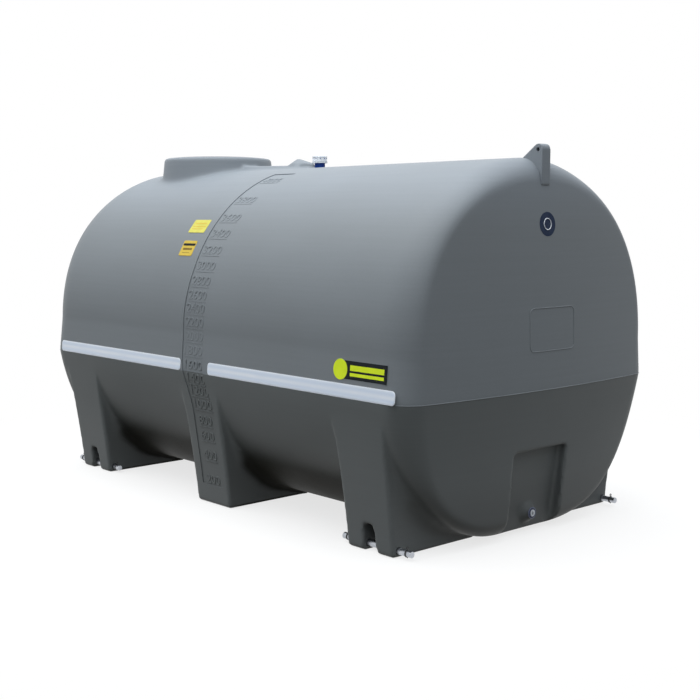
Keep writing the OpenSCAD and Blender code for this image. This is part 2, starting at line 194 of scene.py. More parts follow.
def join(parts: list[Obj], name: str) -> Obj:
    """Join objects into the first one and name it.

    Args:
        parts: The objects.
        name: The joined object's name.

    Returns:
        The first object, which now holds them all.
    """
    deselect()
    for part in parts:
        part.select_set(True)
    bpy.context.view_layer.objects.active = parts[0]
    if len(parts) > 1:
        bpy.ops.object.join()
    return rename(bpy.context.object, name)


def copy_of(names: Iterable[str], name: str) -> Obj:
    """Copy CAD nodes into one merged mesh.

    Args:
        names: The nodes to copy.
        name: The name of the copy.

    Returns:
        The new object.
    """
    copies = []
    for node in names:
        twin = frame["nodes"][node].copy()
        twin.data = twin.data.copy()
        for key in list(twin.keys()):
            del twin[key]
        twin.parent = None
        bpy.context.scene.collection.objects.link(twin)
        twin.data.materials.clear()
        copies.append(twin)
    merged = join(copies, name)
    with editing(merged):
        bpy.ops.mesh.remove_doubles(threshold=TINY)
    return merged


def from_mesh(name: str, points: list, faces: list) -> Obj:
    """Link a new object with a mesh of the given points and faces.

    Args:
        name: Its name.
        points: The places of its vertices.
        faces: The vertices of each face.

    Returns:
        The object.
    """
    mesh = bpy.data.meshes.new(name)
    mesh.from_pydata(points, [], faces)
    obj = bpy.data.objects.new(name, mesh)
    bpy.context.scene.collection.objects.link(obj)
    return obj


def slab(low: tuple, high: tuple) -> Obj:
    """Add a block between two corners.

    Args:
        low: Its lowest corner.
        high: Its highest corner.

    Returns:
        The block, at the origin and unscaled.
    """
    deselect()
    middle = [(a + b) / 2 for a, b in zip(low, high)]
    size = [b - a for a, b in zip(low, high)]
    bpy.ops.mesh.primitive_cube_add(size=1, location=middle, scale=size)
    return settle(bpy.context.object, "slab")


def bisect(obj: Obj, at: tuple, normal: tuple, keep_above: bool) -> None:
    """Cut a mesh with a plane, drop one side of it and close the cut.

    Args:
        obj: The mesh object to cut.
        at: A point on the plane.
        normal: The plane's normal.
        keep_above: Whether the side that the normal points to stays.
    """
    with editing(obj):
        bpy.ops.mesh.bisect(
            plane_co=at,
            plane_no=normal,
            use_fill=True,
            clear_inner=keep_above,
            clear_outer=not keep_above,
        )


def select_in(obj: Obj, test: Callable[[Vector], bool]) -> None:
    """Enter edit mode with only the vertices selected whose places pass a test.

    Args:
        obj: The mesh object.
        test: Takes a vertex's place.
    """
    with editing(obj, "DESELECT", "VERT"):
        pass
    for vertex in obj.data.vertices:
        vertex.select = test(vertex.co)
    bpy.ops.object.mode_set(mode="EDIT")


def round_edges(
    obj: Obj, test: Callable[[Vector, Vector], bool], radius: float, segments: int
) -> None:
    """Round the edges whose two ends pass a test.

    Args:
        obj: The mesh object.
        test: Takes the places of an edge's ends.
        radius: The rounding.
        segments: Its number of faces.
    """
    with editing(obj, "DESELECT", "EDGE"):
        pass
    for edge in obj.data.edges:
        edge.select = test(*(obj.data.vertices[i].co for i in edge.vertices))
    bpy.ops.object.mode_set(mode="EDIT")
    bpy.ops.mesh.bevel(offset=radius, segments=segments, affect="EDGES")
    bpy.ops.object.mode_set(mode="OBJECT")


def flip_across(obj: Obj) -> None:
    """Mirror a mesh from one long side of the tank to the other.

    Args:
        obj: The mesh object.
    """
    with editing(obj):
        bpy.ops.transform.resize(value=(1, -1, 1), center_override=(0, 0, 0))
        bpy.ops.mesh.flip_normals()


def smooth(obj: Obj, degrees: float = 35.0) -> Obj:
    """Shade a mesh smooth.

    Args:
        obj: The mesh object.
        degrees: The angle past which an edge stays sharp.

    Returns:
        The same object.
    """
    activate(obj)
    bpy.ops.object.shade_smooth_by_angle(angle=math.radians(degrees))
    return obj


def tube(points: list[Vector], radius: float, name: str, closed: bool = False) -> Obj:
    """Sweep a round section along a line.

    Args:
        points: The line's points.
        radius: Radius of the section.
        name: The object's name.
        closed: Whether the line returns to its start.

    Returns:
        The tube as a mesh at the origin.
    """
    curve = bpy.data.curves.new(name, "CURVE")
    curve.dimensions = "3D"
    curve.bevel_depth = radius
    curve.bevel_resolution = 2
    curve.use_fill_caps = True
    spline = curve.splines.new("POLY")
    spline.points.add(len(points) - 1)
    for slot, point in zip(spline.points, points):
        slot.co = (*point, 1.0)
    spline.use_cyclic_u = closed
    obj = bpy.data.objects.new(name, curve)
    bpy.context.scene.collection.objects.link(obj)
    activate(obj)
    bpy.ops.object.convert(target="MESH")
    return settle(bpy.context.object, name)


def tube_ring(middle: Vector, axis: Vector, radius: float, wire: float, name: str) -> Obj:
    """Add a ring round an axis.

    Args:
        middle: Its middle.
        axis: The way of its axis.
        radius: Radius of its middle line.
        wire: Radius of its section.
        name: Its name.

    Returns:
        The ring, at the origin.
    """
    deselect()
    bpy.ops.mesh.primitive_torus_add(
        major_radius=radius, minor_radius=wire, major_segments=48, minor_segments=10
    )
    ring = bpy.context.object
    turn = axis.to_track_quat("Z", "Y").to_matrix().to_4x4()
    ring.matrix_world = Matrix.Translation(middle) @ turn
    return settle(ring, name)


def rod(middle: tuple, radius: float, length: float, axis: str) -> Obj:
    """Add a round rod.

    Args:
        middle: Its middle.
        radius: Its radius.
        length: Its length.
        axis: X or Y.

    Returns:
        The rod, closed and at the origin.
    """
    deselect()
    turn = (0, math.radians(90), 0) if axis == "X" else (math.radians(90), 0, 0)
    bpy.ops.mesh.primitive_cylinder_add(
        vertices=48, radius=radius, depth=length, location=middle, rotation=turn
    )
    return settle(bpy.context.object, "rod")


def plate(
    middle: Vector, out: Vector, along: Vector, size: tuple, radius: float, name: str
) -> Obj:
    """Add a thin plate with rounded corners.

    Args:
        middle: Its middle, on the skin.
        out: The way that it faces.
        along: The way of its width.
        size: Its width and height.
        radius: Rounding of its corners.
        name: Its name.

    Returns:
        The plate, as a mesh at the origin.
    """
    x, y = size[0] / 2, size[1] / 2
    block = slab((-x, -y, PLATE_UNDER), (x, y, PLATE_OVER))
    round_edges(block, lambda a, b: abs(a.z - b.z) > 1e-4, radius * 0.999, segments=10)
    up = out.cross(along).normalized()
    side = up.cross(out).normalized()
    turn = Matrix((side, up, out.normalized())).transposed().to_4x4()
    block.matrix_world = Matrix.Translation(middle) @ turn
    return smooth(settle(block, name), 40)


def glide(obj: Obj, z: float, passes: int) -> None:
    """Even out the vertices that lie on a level line, along that line.

    Args:
        obj: The mesh object.
        z: The line's height.
        passes: How many times each vertex moves towards its two neighbours.
    """
    mesh = obj.data
    on = {v.index for v in mesh.vertices if abs(v.co.z - z) < TINY}
    beside: dict[int, list[int]] = {i: [] for i in on}
    for edge in mesh.edges:
        a, b = edge.vertices
        if a in on and b in on:
            beside[a].append(b)
            beside[b].append(a)
    chain = [i for i in sorted(on) if len(beside[i]) == 2]
    place = {i: mesh.vertices[i].co.copy() for i in on}
    for _ in range(passes):
        moved = {
            i: place[i] * 0.5 + (place[beside[i][0]] + place[beside[i][1]]) * 0.25
            for i in chain
        }
        place.update(moved)
    for i in chain:
        mesh.vertices[i].co = place[i]


def carve(obj: Obj, cutter: Obj, keep_cutter: bool = False) -> None:
    """Cut an object with another one.

    Args:
        obj: The object to cut.
        cutter: The object to cut it with.
        keep_cutter: Whether that one is needed again.
    """
    modify(obj, "BOOLEAN", operation="DIFFERENCE", object=cutter, solver="EXACT")
    if not keep_cutter:
        bpy.data.objects.remove(cutter)


def mirrored(place: tuple, end: End, side: Side = Side.FAR) -> tuple:
    """Turn a place on the front far corner into the same one at another end or side."""
    return (place[0] * end.value, place[1] * side.value, place[2])


def within(co: Vector, box: Box) -> bool:
    """Whether a place lies inside a box of its lowest and highest corners."""
    (x0, y0, z0), (x1, y1, z1) = box
    return x0 < co.x < x1 and y0 < co.y < y1 and z0 < co.z < z1


def ease(share: float) -> float:
    """Turn an even share into one that starts and ends softly, kept from 0 to 1."""
    share = min(1.0, max(0.0, share))
    return share * share * (3 - 2 * share)


def hit(targets: Iterable[Obj], origin: tuple, direction: tuple) -> tuple[Vector, Vector]:
    """Find where a ray first meets one of several objects.

    Args:
        targets: Mesh objects at the origin.
        origin: Where the ray starts.
        direction: Where it goes.

    Returns:
        The point and the surface normal there.
    """
    start, way = Vector(origin), Vector(direction)
    met = [target.ray_cast(start, way)[:3] for target in targets]
    met = [(point, normal) for found, point, normal in met if found]
    if not met:
        raise ValueError(f"nothing lies on the ray from {origin}")
    return min(met, key=lambda place: (place[0] - start).length)


# --- Node graphs ---


class Graph:
    """A short way to build one node tree."""

    def __init__(self, tree: bpy.types.NodeTree) -> None:
        """Keep the tree and empty it."""
        self.tree = tree
        tree.nodes.clear()

    def add(self, kind: str, **values: object) -> bpy.types.Node:
        """Add a node.

        Args:
            kind: The node's type name.
            values: Its properties, or its inputs by lower-case name with _ for a space.

        Returns:
            The node.
        """
        node = self.tree.nodes.new(kind)
        sockets = {s.name.lower().replace(" ", "_"): s for s in node.inputs}
        for key, value in values.items():
            if key in sockets:
                self.feed(value, sockets[key])
            else:
                setattr(node, key, value)
        return node

    def feed(self, value: object, socket: Socket) -> None:
        """Link a socket to another one, or set its value.

        Args:
            value: The other socket, a number or a colour.
            socket: The socket.
        """
        if isinstance(value, Socket):
            self.tree.links.new(value, socket)
        elif isinstance(value, tuple) and len(value) == 3 and socket.type == "RGBA":
            socket.default_value = (*value, 1.0)
        else:
            socket.default_value = value

    def fed(self, kind: str, values: Iterable[object], **settings: object) -> bpy.types.Node:
        """Add a node and fill its inputs in order.

        Args:
            kind: The node's type name.
            values: What goes into its inputs.
            settings: Its properties.

        Returns:
            The node.
        """
        node = self.add(kind, **settings)
        for value, socket in zip(values, node.inputs):
            self.feed(value, socket)
        return node

    def at(self, kind: str = "Object") -> Socket:
        """Give the object's own coordinates, or its normals."""
        return self.add("ShaderNodeTexCoord").outputs[kind]

    def math(self, operation: str, *values: object) -> Socket:
        """Add a Math node and return its output."""
        return self.fed("ShaderNodeMath", values, operation=operation).outputs[0]

    def measure(self, operation: str, *values: object) -> Socket:
        """Add a Vector Math node that gives a number, and return that."""
        return self.fed("ShaderNodeVectorMath", values, operation=operation).outputs["Value"]

    def step(self, value: object, *spans: float) -> Socket:
        """Add a smooth Map Range node, from a span of two to a span of two."""
        values, kind = (value, *spans), "SMOOTHSTEP"
        return self.fed("ShaderNodeMapRange", values, interpolation_type=kind).outputs[0]

    def ramp(self, value: object, start: float, stop: float, most: float = 1.0) -> Socket:
        """Rise smoothly from 0 at one value to the most at another."""
        return self.step(value, start, stop, 0.0, most)

    def mix(self, factor: object, first: object, second: object) -> Socket:
        """Add a colour Mix node.

        Args:
            factor: The second colour's share.
            first: The first colour.
            second: The second one.

        Returns:
            The mixed colour.
        """
        node = self.add("ShaderNodeMix", data_type="RGBA")
        for value, key in ((factor, "Factor"), (first, 6), (second, 7)):
            self.feed(value, node.inputs[key])
        return node.outputs[2]

    def noise(self, at: object, scale: object, detail: float = 2.0) -> Socket:
        """Add a Noise Texture and return its value."""
        node = self.add("ShaderNodeTexNoise", vector=at, scale=scale, detail=detail)
        return node.outputs["Fac"]

    def effect(self, tree: bpy.types.NodeTree, **values: float) -> Socket:
        """Place a node group.

        Args:
            tree: The group.
            values: Its inputs, by lower-case name with _ for a space.

        Returns:
            Its output.
        """
        node = self.tree.nodes.new("ShaderNodeGroup")
        node.node_tree = tree
        for key, value in values.items():
            node.inputs[key.replace("_", " ").title()].default_value = value
        return node.outputs[0]

    def by_ray(self, kind: str, lit: Socket, seen: Socket) -> None:
        """Send one shader to the output for light, and another for what the eye sees.

        Args:
            kind: Material or World.
            lit: The shader that lights and shades other things.
            seen: The one for camera, glossy and transmission rays.
        """
        path = self.add("ShaderNodeLightPath").outputs
        mirror = self.math("MAXIMUM", path["Is Glossy Ray"], path["Is Transmission Ray"])
        eye = self.math("MAXIMUM", path["Is Camera Ray"], mirror)
        both = self.fed("ShaderNodeMixShader", (eye, lit, seen))
        self.fed(f"ShaderNodeOutput{kind}", (both.outputs[0],))

    def principled(
        self, colour: Socket, rough: Socket, bump: bpy.types.Node, **more: object
    ) -> None:
        """Send a Principled shader to the output.

        Args:
            colour: Its base colour.
            rough: Its roughness.
            bump: The Bump node that gives its normal.
            more: Its other inputs, by lower-case name with _ for a space.
        """
        normal = bump.outputs["Normal"]
        values = {"base_color": colour, "roughness": rough, "normal": normal, **more}
        shader = self.add("ShaderNodeBsdfPrincipled", **values)
        self.fed("ShaderNodeOutputMaterial", (shader.outputs[0],))


def new_material(name: str) -> tuple[Material, Graph]:
    """Make an empty node material.

    Args:
        name: Its name.

    Returns:
        The material and its graph.
    """
    material = bpy.data.materials.new(name)
    material.use_nodes = True
    return material, Graph(material.node_tree)


@dataclass(frozen=True)
class Effect:
    """A node group that mixes a first noise with a second one, as a value from 0 to 1.

    Attributes:
        name: The group's name.
        first: Name and size of the first noise.
        second: Name and size of the second.
        share: Name and amount of the second's share.
        output: The output's name.
        detail: Detail of the first noise.
    """

    name: str
    first: tuple[str, float]
    second: tuple[str, float]
    share: tuple[str, float]
    output: str
    detail: float = 2.0

    def tree(self) -> bpy.types.NodeTree:
        """Make the group once.

        Returns:
            The group, or the one that was made before.
        """
        made = bpy.data.node_groups.get(self.name)
        if made:
            return made
        tree = bpy.data.node_groups.new(self.name, "ShaderNodeTree")
        g = Graph(tree)
        kind = "NodeSocketFloat"
        for key, value in (self.first, self.second, self.share):
            socket = tree.interface.new_socket(key, in_out="INPUT", socket_type=kind)
            socket.default_value = value
        tree.interface.new_socket(self.output, in_out="OUTPUT", socket_type=kind)
        given, at = g.add("NodeGroupInput").outputs, g.at()
        one = g.noise(at, given[self.first[0]], self.detail)
        two = g.noise(at, given[self.second[0]])
        both = g.fed("ShaderNodeMix", (given[self.share[0]],), data_type="FLOAT")
        g.feed(one, both.inputs[2])
        g.feed(two, both.inputs[3])
        g.fed("NodeGroupOutput", (both.outputs[0],))
        return tree


GRAIN = Effect(
    "Moulded grain", ("Peel Size", 260.0), ("Wave Size", 9.0), ("Wave Share", 0.5), "Height"
)
MOTTLE = Effect(
    "Mottle", ("Cloud Size", 2.2), ("Speck Size", 140.0), ("Speck Share", 0.3), "Value", 5.0
)


# --- Finishes ---


@dataclass(frozen=True)
class MouldedPlastic:
    """Matte polyethylene, with painted light that pales the roof and painted shade that darkens it
    below the parting line, most of all under the belly.

    Attributes:
        name: The material's name.
        roof: Colour on top, paler as painted light.
        upper: Colour above the parting line.
        lower: Colour just under the parting line, darker as painted shade.
        foot: Colour at the ground, a little paler as painted light on the feet.
        grime: Colour of the belly between the feet, a near-black painted shade.
        worn: Colour that the mottling and the streaks lean towards.
        roughness: Roughness of the skin.
        roof_from: Heights between which the roof pales.
        foot_to: Heights between which the lower half changes.
        belly_y: From where across the tank the painted shade of the belly fades in, and to where.
        belly_z: The same in height.
        belly_down: The same in how far the skin faces down.
        belly_x: From where along the tank it gains, to where, and its two shares.
        tip_x: The same for the painted shade under an end, and its greatest share.
        tip_z: From which height that one fades in, and to which.
    """

    name: str
    # roof is painted light; lower, foot and the belly's colour are painted shade, lightest at the
    # ground
    roof: Colour = (0.243, 0.264, 0.282)
    upper: Colour = (0.207, 0.222, 0.229)
    lower: Colour = (0.125, 0.134, 0.131)
    foot: Colour = (0.138, 0.145, 0.141)
    grime: Colour = (0.02, 0.019, 0.015)
    worn: Colour = (0.06, 0.07, 0.07)
    roughness: float = 0.5
    roof_from: tuple[float, float] = (1.15, 1.44)
    foot_to: tuple[float, float] = (0.1, 0.5)
    belly_y: tuple[float, float] = (0.68, 0.56)
    belly_z: tuple[float, float] = (0.5, 0.16)
    belly_down: tuple[float, float] = (-0.05, -0.5)
    belly_x: tuple = (1.16, 0.98, 0.25, 1.0)
    tip_x: tuple[float, float, float] = (1.14, 1.2, 0.3)
    tip_z: tuple[float, float] = (0.3, 0.08)

    def base(self, g: Graph, at: Socket) -> tuple[Socket, Socket]:
        """Colour the skin by its place, with painted light on the roof and painted shade below the
        parting line.

        Args:
            g: The material's graph.
            at: The coordinates.

        Returns:
            The colour, and the mask of the painted shade on the belly between the feet.
        """
        x, y, height = g.add("ShaderNodeSeparateXYZ", vector=at).outputs
        across, along = g.math("ABSOLUTE", y), g.math("ABSOLUTE", x)
        down = g.add("ShaderNodeSeparateXYZ", vector=g.at("Normal")).outputs["Z"]
        # painted shade: the belly between the feet goes near black where the skin faces down,
        # strongest away from the ends
        belly = g.ramp(across, *self.belly_y)
        for mask in (g.ramp(height, *self.belly_z), g.ramp(down, *self.belly_down)):
            belly = g.math("MULTIPLY", belly, mask)
        belly = g.math("MULTIPLY", belly, g.step(along, *self.belly_x))
        # painted shade under each end, near the ground
        tip = g.math("MULTIPLY", g.ramp(along, *self.tip_x), g.ramp(height, *self.tip_z))
        # painted shade: the lower half is darker than the upper, a little paler towards the ground
        below = g.mix(g.ramp(height, *self.foot_to), self.foot, self.lower)
        for mask in (tip, belly):
            below = g.mix(mask, below, self.grime)
        # painted light: the roof pales towards its crown
        top = g.mix(g.ramp(height, *self.roof_from), self.upper, self.roof)
        return g.mix(g.math("GREATER_THAN", height, PARTING_Z), below, top), belly

    def build(self) -> Material:
        """Make the material.

        Returns:
            The material.
        """
        material, g = new_material(self.name)
        at = g.at()
        base, belly = self.base(g, at)
        mottle = g.effect(MOTTLE.tree())
        squeeze = g.add("ShaderNodeMapping", vector=at, scale=(1.2, 1.2, 60.0))
        streak = g.noise(squeeze.outputs["Vector"], 1.6, 3.0)
        patches = g.step(mottle, 0.35, 0.65, 0.16, 0.0)
        worn = g.math("ADD", patches, g.step(streak, 0.3, 0.7, 0.07, 0.0))
        colour = g.mix(worn, base, g.mix(0.5, base, self.worn))
        grain = g.effect(GRAIN.tree())
        bump = g.add("ShaderNodeBump", strength=0.25, distance=0.002, height=grain)
        rough = g.step(mottle, 0.3, 0.7, self.roughness - 0.05, self.roughness + 0.07)
        # the painted shade under the belly also takes most of its reflection away
        shine = g.step(belly, 0.0, 1.0, 0.25, 0.04)
        g.principled(colour, rough, bump, specular_ior_level=shine)
        return material


@dataclass(frozen=True)
class PlainFinish:
    """A finish with one main colour, broken up by mottling and a fine grain.

    Attributes:
        name: The material's name.
        colour: The main colour.
        shade: The colour of its darker patches.
        roughness: The mean roughness.
        metallic: 1 for bare metal.
        grain: Strength of the grain.
        coat: Weight of a clear coat.
        shine: Strength of its reflections.
    """

    name: str
    colour: Colour
    shade: Colour
    roughness: float = 0.4
    metallic: float = 0.0
    grain: float = 0.1
    coat: float = 0.0
    shine: float = 0.5

    def build(self) -> Material:
        """Make the material.

        Returns:
            The material.
        """
        material, g = new_material(self.name)
        value = g.effect(MOTTLE.tree(), cloud_size=30.0, speck_size=500.0)
        colour = g.mix(g.step(value, 0.38, 0.62, 0.6, 0.0), self.colour, self.shade)
        grain = g.effect(GRAIN.tree(), peel_size=400.0, wave_share=0.2)
        bump = g.add("ShaderNodeBump", strength=self.grain, distance=0.001, height=grain)
        rough = g.step(value, 0.3, 0.7, self.roughness + 0.08, self.roughness - 0.04)
        g.principled(
            colour,
            rough,
            bump,
            metallic=self.metallic,
            coat_weight=self.coat,
            specular_ior_level=self.shine,
        )
        return material


@dataclass(frozen=True)
class ReflectiveTape:
    """Silver reflective tape under a clear film, with faint lengthwise bands of painted sheen.

    Attributes:
        name: The material's name.
        pale: Colour of its pale bands, a painted sheen.
        deep: Colour between them.
        low_z: Height of its lower edge.
        height: Its width up the side, which holds two bands.
    """

    name: str = "Reflective tape"
    pale: Colour = (0.93, 0.96, 1.0)
    deep: Colour = (0.76, 0.83, 0.93)
    low_z: float = PARTING_Z
    height: float = 0.052

    def build(self) -> Material:
        """Make the material.

        Returns:
            The material.
        """
        material, g = new_material(self.name)
        at = g.at()
        z = g.add("ShaderNodeSeparateXYZ", vector=at).outputs["Z"]
        turn = g.math("MULTIPLY", g.math("SUBTRACT", z, self.low_z), 4 * math.pi / self.height)
        # painted sheen: pale bands up the tape, a little broken by noise
        sheen_wave = g.math("MULTIPLY_ADD", g.math("COSINE", turn), 0.5, 0.5)
        soft = g.math("MULTIPLY", sheen_wave, g.step(g.noise(at, 6.0), 0.2, 0.8, 0.5, 1.0))
        beads = g.noise(at, 900.0)
        bump = g.add("ShaderNodeBump", strength=0.08, distance=0.0005, height=beads)
        colour = g.mix(soft, self.deep, self.pale)
        g.principled(colour, g.step(beads, 0.3, 0.7, 0.3, 0.42), bump, coat_weight=0.5)
        return material


class Finishes:
    """All the finishes of the tank, each built once and found by its key."""

    BY_KEY = {
        "body": MouldedPlastic("Moulded polyethylene"),
        "lid": PlainFinish(
            "Lid plastic", (0.035, 0.037, 0.04), (0.02, 0.021, 0.023), 0.45, grain=0.2
        ),
        "steel": PlainFinish(
            "Zinc plated steel", (0.55, 0.57, 0.61), (0.34, 0.36, 0.4), 0.3, 1.0, 0.12
        ),
        "tape": ReflectiveTape(),
        "edging": PlainFinish("White edging", (0.93, 0.95, 0.98), (0.86, 0.89, 0.94)),
        "blue": PlainFinish("Blue nylon", (0.005, 0.055, 0.33), (0.004, 0.04, 0.24), shine=0.25),
        "white": PlainFinish(
            "White nylon", (0.94, 0.95, 0.96), (0.86, 0.88, 0.91), 0.35, coat=0.2
        ),
        "bush": PlainFinish("Black nylon", (0.03, 0.034, 0.05), (0.018, 0.02, 0.03)),
        "navy": PlainFinish("Navy nylon", (0.02, 0.026, 0.07), (0.014, 0.018, 0.05)),
        "slate": PlainFinish("Slate nylon", (0.16, 0.18, 0.27), (0.12, 0.135, 0.2)),
        "grey": PlainFinish("Grey rim", (0.4, 0.42, 0.45), (0.32, 0.34, 0.37)),
        "disc_blue": PlainFinish(
            "Blue vinyl", (0.012, 0.026, 0.062), (0.01, 0.02, 0.05), 0.6, shine=0.2
        ),
        "yellow": PlainFinish("Yellow vinyl", (0.62, 0.56, 0.08), (0.54, 0.48, 0.07), 0.6),
        "amber": PlainFinish("Amber vinyl", (0.62, 0.43, 0.035), (0.54, 0.37, 0.03), 0.6),
        "brown": PlainFinish(
            "Brown print", (0.2, 0.13, 0.02), (0.16, 0.1, 0.016), 0.6, shine=0.2
        ),
        "black": PlainFinish(
            "Black vinyl", (0.005, 0.008, 0.01), (0.003, 0.005, 0.007), 0.6, shine=0.15
        ),
        "lime": PlainFinish("Lime vinyl", (0.85, 1.0, 0.01), (0.75, 0.9, 0.008), 0.6),
        "wire": PlainFinish("Black wire", (0.012, 0.012, 0.013), (0.02, 0.02, 0.021), 0.35),
        "plug": PlainFinish("Plug plastic", (0.78, 0.79, 0.8), (0.6, 0.62, 0.64), 0.35),
    }

    def __init__(self) -> None:
        """Build the materials."""
        self.made = {key: made.build() for key, made in self.BY_KEY.items()}

    def __getitem__(self, key: str) -> Material:
        """Find a finish by its key."""
        return self.made[key]


# --- Sub-assemblies ---


@dataclass
class SubAssembly:
    """A part of the tank that dresses its pieces and parents them to the tank's root body.

    Attributes:
        finishes: The finishes to dress them in.
    """

    finishes: Finishes

    def show(
        self, obj: Obj, key: str, slot: str, degrees: float = 35.0, replaces: Iterable[str] = ()
    ) -> None:
        """Smooth a finished piece, dress it, parent it to the tank's root body and hide the CAD
        nodes that it stands for.

        Args:
            obj: The piece.
            key: Its finish.
            slot: A material slot of the record; not used.
            degrees: The angle past which its edges stay sharp, or 0 to leave its shading.
            replaces: CAD nodes that it stands for.
        """
        if degrees:
            smooth(obj, degrees)
        obj.data.materials.clear()
        obj.data.materials.append(self.finishes[key])
        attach(obj, "root")
        names = list(replaces)
        if names:
            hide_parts(*names)
        LOG.info("%s: %d faces", obj.name, len(obj.data.polygons))


@dataclass(frozen=True)
class TankShape:
    """The shell's outer form: an arched section between two crowned ends.

    Attributes:
        half_l: Half the length over the crowned ends.
        half_w: Half the width at the parting line.
        top: Height of the roof's crown.
        joint: Where an end begins.
        side_h: Height of the drafted side under the arched roof.
        side_lean: How far that side leans in.
        belly_flat: Half the width of the flat under the belly.
        belly_z: Height of that flat.
        belly_lift: How far above the parting line the belly's curve would stand upright.
        crown_across: Crown radius of an end, across.
        crown_up: Crown radius of its upper half.
        lean: Slope of its lower half at the parting line.
        lean_less: How much less it slopes for each metre further down.
        stretch: How much longer the shoulders' rounding is along the tank than across.
        reaches: Roundings at the parting line, shoulder, top edge, lower corner and
            bottom edge.
    """

    half_l: float
    half_w: float
    top: float
    joint: float
    side_h: float = 0.165
    side_lean: float = 0.013
    belly_flat: float = 0.12
    belly_z: float = 0.008
    belly_lift: float = 0.086
    crown_across: float = 5.0
    crown_up: float = 8.0
    lean: float = 0.135
    lean_less: float = 0.04
    stretch: float = 1.15
    reaches: tuple = (0.1, 0.06, 0.088, 0.04, 0.105)

    ROOF_STEPS, BELLY_STEPS, CORNER_STEPS, FACE_STEPS = 120, 48, 14, 12

    @classmethod
    def of_frame(cls) -> "TankShape":
        """Read the main sizes from the CAD nodes."""
        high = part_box("barrel")[1]
        return cls(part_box("drain_end")[1].x, high.y, high.z, high.x)

    def outline(self) -> list[tuple[float, float]]:
        """Trace the section.

        Returns:
            Its points as y and z, over the roof and back under the belly.
        """
        spring = PARTING_Z + self.side_h
        half, rise = self.half_w - self.side_lean, self.top - spring
        turns = [math.pi * i / self.ROOF_STEPS for i in range(self.ROOF_STEPS + 1)]
        roof = [(half * math.cos(t), spring + rise * math.sin(t)) for t in turns]
        mid_z = PARTING_Z + self.belly_lift
        fall = mid_z - self.belly_z
        first = math.asin(self.belly_lift / fall)
        reach = (self.half_w - self.belly_flat) / math.cos(first)
        sweep, steps = math.pi / 2 - first, self.BELLY_STEPS
        turns = [first + sweep * i / steps for i in range(steps + 1)]
        right = [
            (self.belly_flat + reach * math.cos(t), mid_z - fall * math.sin(t)) for t in turns
        ]
        return roof + [(-y, z) for y, z in right] + right[::-1]

    def face_x(self, y: float, z: float) -> float:
        """Find the crowned end's place along the tank.

        Args:
            y: A place across the tank.
            z: A height.

        Returns:
            The place along the tank there.
        """
        up, down = max(0.0, z - PARTING_Z), max(0.0, PARTING_Z - z)
        return (
            self.half_l
            - y * y / (2 * self.crown_across)
            - up * up / (2 * self.crown_up)
            - down * self.lean
            + down * down * self.lean_less
        )

    def rounding(self, y: float, z: float) -> float:
        """Find the reach of the end's corner rounding.

        Args:
            y: Place across the tank of a point of the outline.
            z: Its height.

        Returns:
            The reach behind that point.
        """
        side, shoulder, brow, chin, keel = self.reaches
        turn = math.degrees(math.atan2(z - PARTING_Z, abs(y)))
        spans = (
            (50.0, 90.0, shoulder, brow),
            (0.0, 50.0, side, shoulder),
            (-45.0, 0.0, chin, side),
            (-90.0, -45.0, keel, chin),
        )
        for low, high, a, b in spans:
            if turn >= low:
                share = (1 - math.cos(math.pi * (turn - low) / (high - low))) / 2
                return a + (b - a) * share
        return keel

    def end_ring(self, turn: float, share: float) -> list[tuple]:
        """Make one ring of the front end.

        Args:
            turn: How far round the corner rounding it lies, from 0 to 90 degrees.
            share: How far out from the middle it lies, 1 at the rounding's inner edge.

        Returns:
            The ring's points.
        """
        sine, cosine = math.sin(math.radians(turn)), math.cos(math.radians(turn))
        points = []
        for y, z in self.outline():
            reach = self.rounding(y, z)
            span = math.hypot(y, z - PARTING_Z)
            inward = (1 - reach * (1 - cosine) / span) * share
            ry, rz = y * inward, PARTING_Z + (z - PARTING_Z) * inward
            around = max(0.0, math.atan2(z - PARTING_Z, abs(y)))
            back = reach * (1 + self.stretch * max(0.0, math.sin(2 * around)) ** 1.3)
            points.append((self.face_x(ry, rz) - back * (1 - sine), ry, rz))
        return points

    def build(self) -> Obj:
        """Make the closed shell.

        Returns:
            A mesh of quads from the middle of one end to the middle of the other.
        """
        corner, face = self.CORNER_STEPS, self.FACE_STEPS
        front = [[(self.joint, y, z) for y, z in self.outline()]]
        front += [self.end_ring(90 * i / corner, 1.0) for i in range(corner + 1)]
        front += [self.end_ring(90, 1 - i / face) for i in range(1, face)]
        rear = [[(-x, y, z) for x, y, z in ring] for ring in front]
        rings = rear[::-1] + front
        count = len(rings[0])
        last = count * (len(rings) - 1)
        points = [p for ring in rings for p in ring]
        faces = [
            (a + i, a + (i + 1) % count, a + count + (i + 1) % count, a + count + i)
            for a in range(0, last, count)
            for i in range(count)
        ]
        for end, base in ((End.REAR, 0), (End.FRONT, last)):
            points.append((end.value * self.face_x(0, PARTING_Z), 0, PARTING_Z))
            tip = len(points) - 1
            faces += [(base + i, base + (i + 1) % count, tip) for i in range(count)]
        shell = from_mesh("shell form", points, faces)
        with editing(shell):
            bpy.ops.mesh.remove_doubles(threshold=TINY)
            bpy.ops.mesh.normals_make_consistent(inside=False)
        return shell


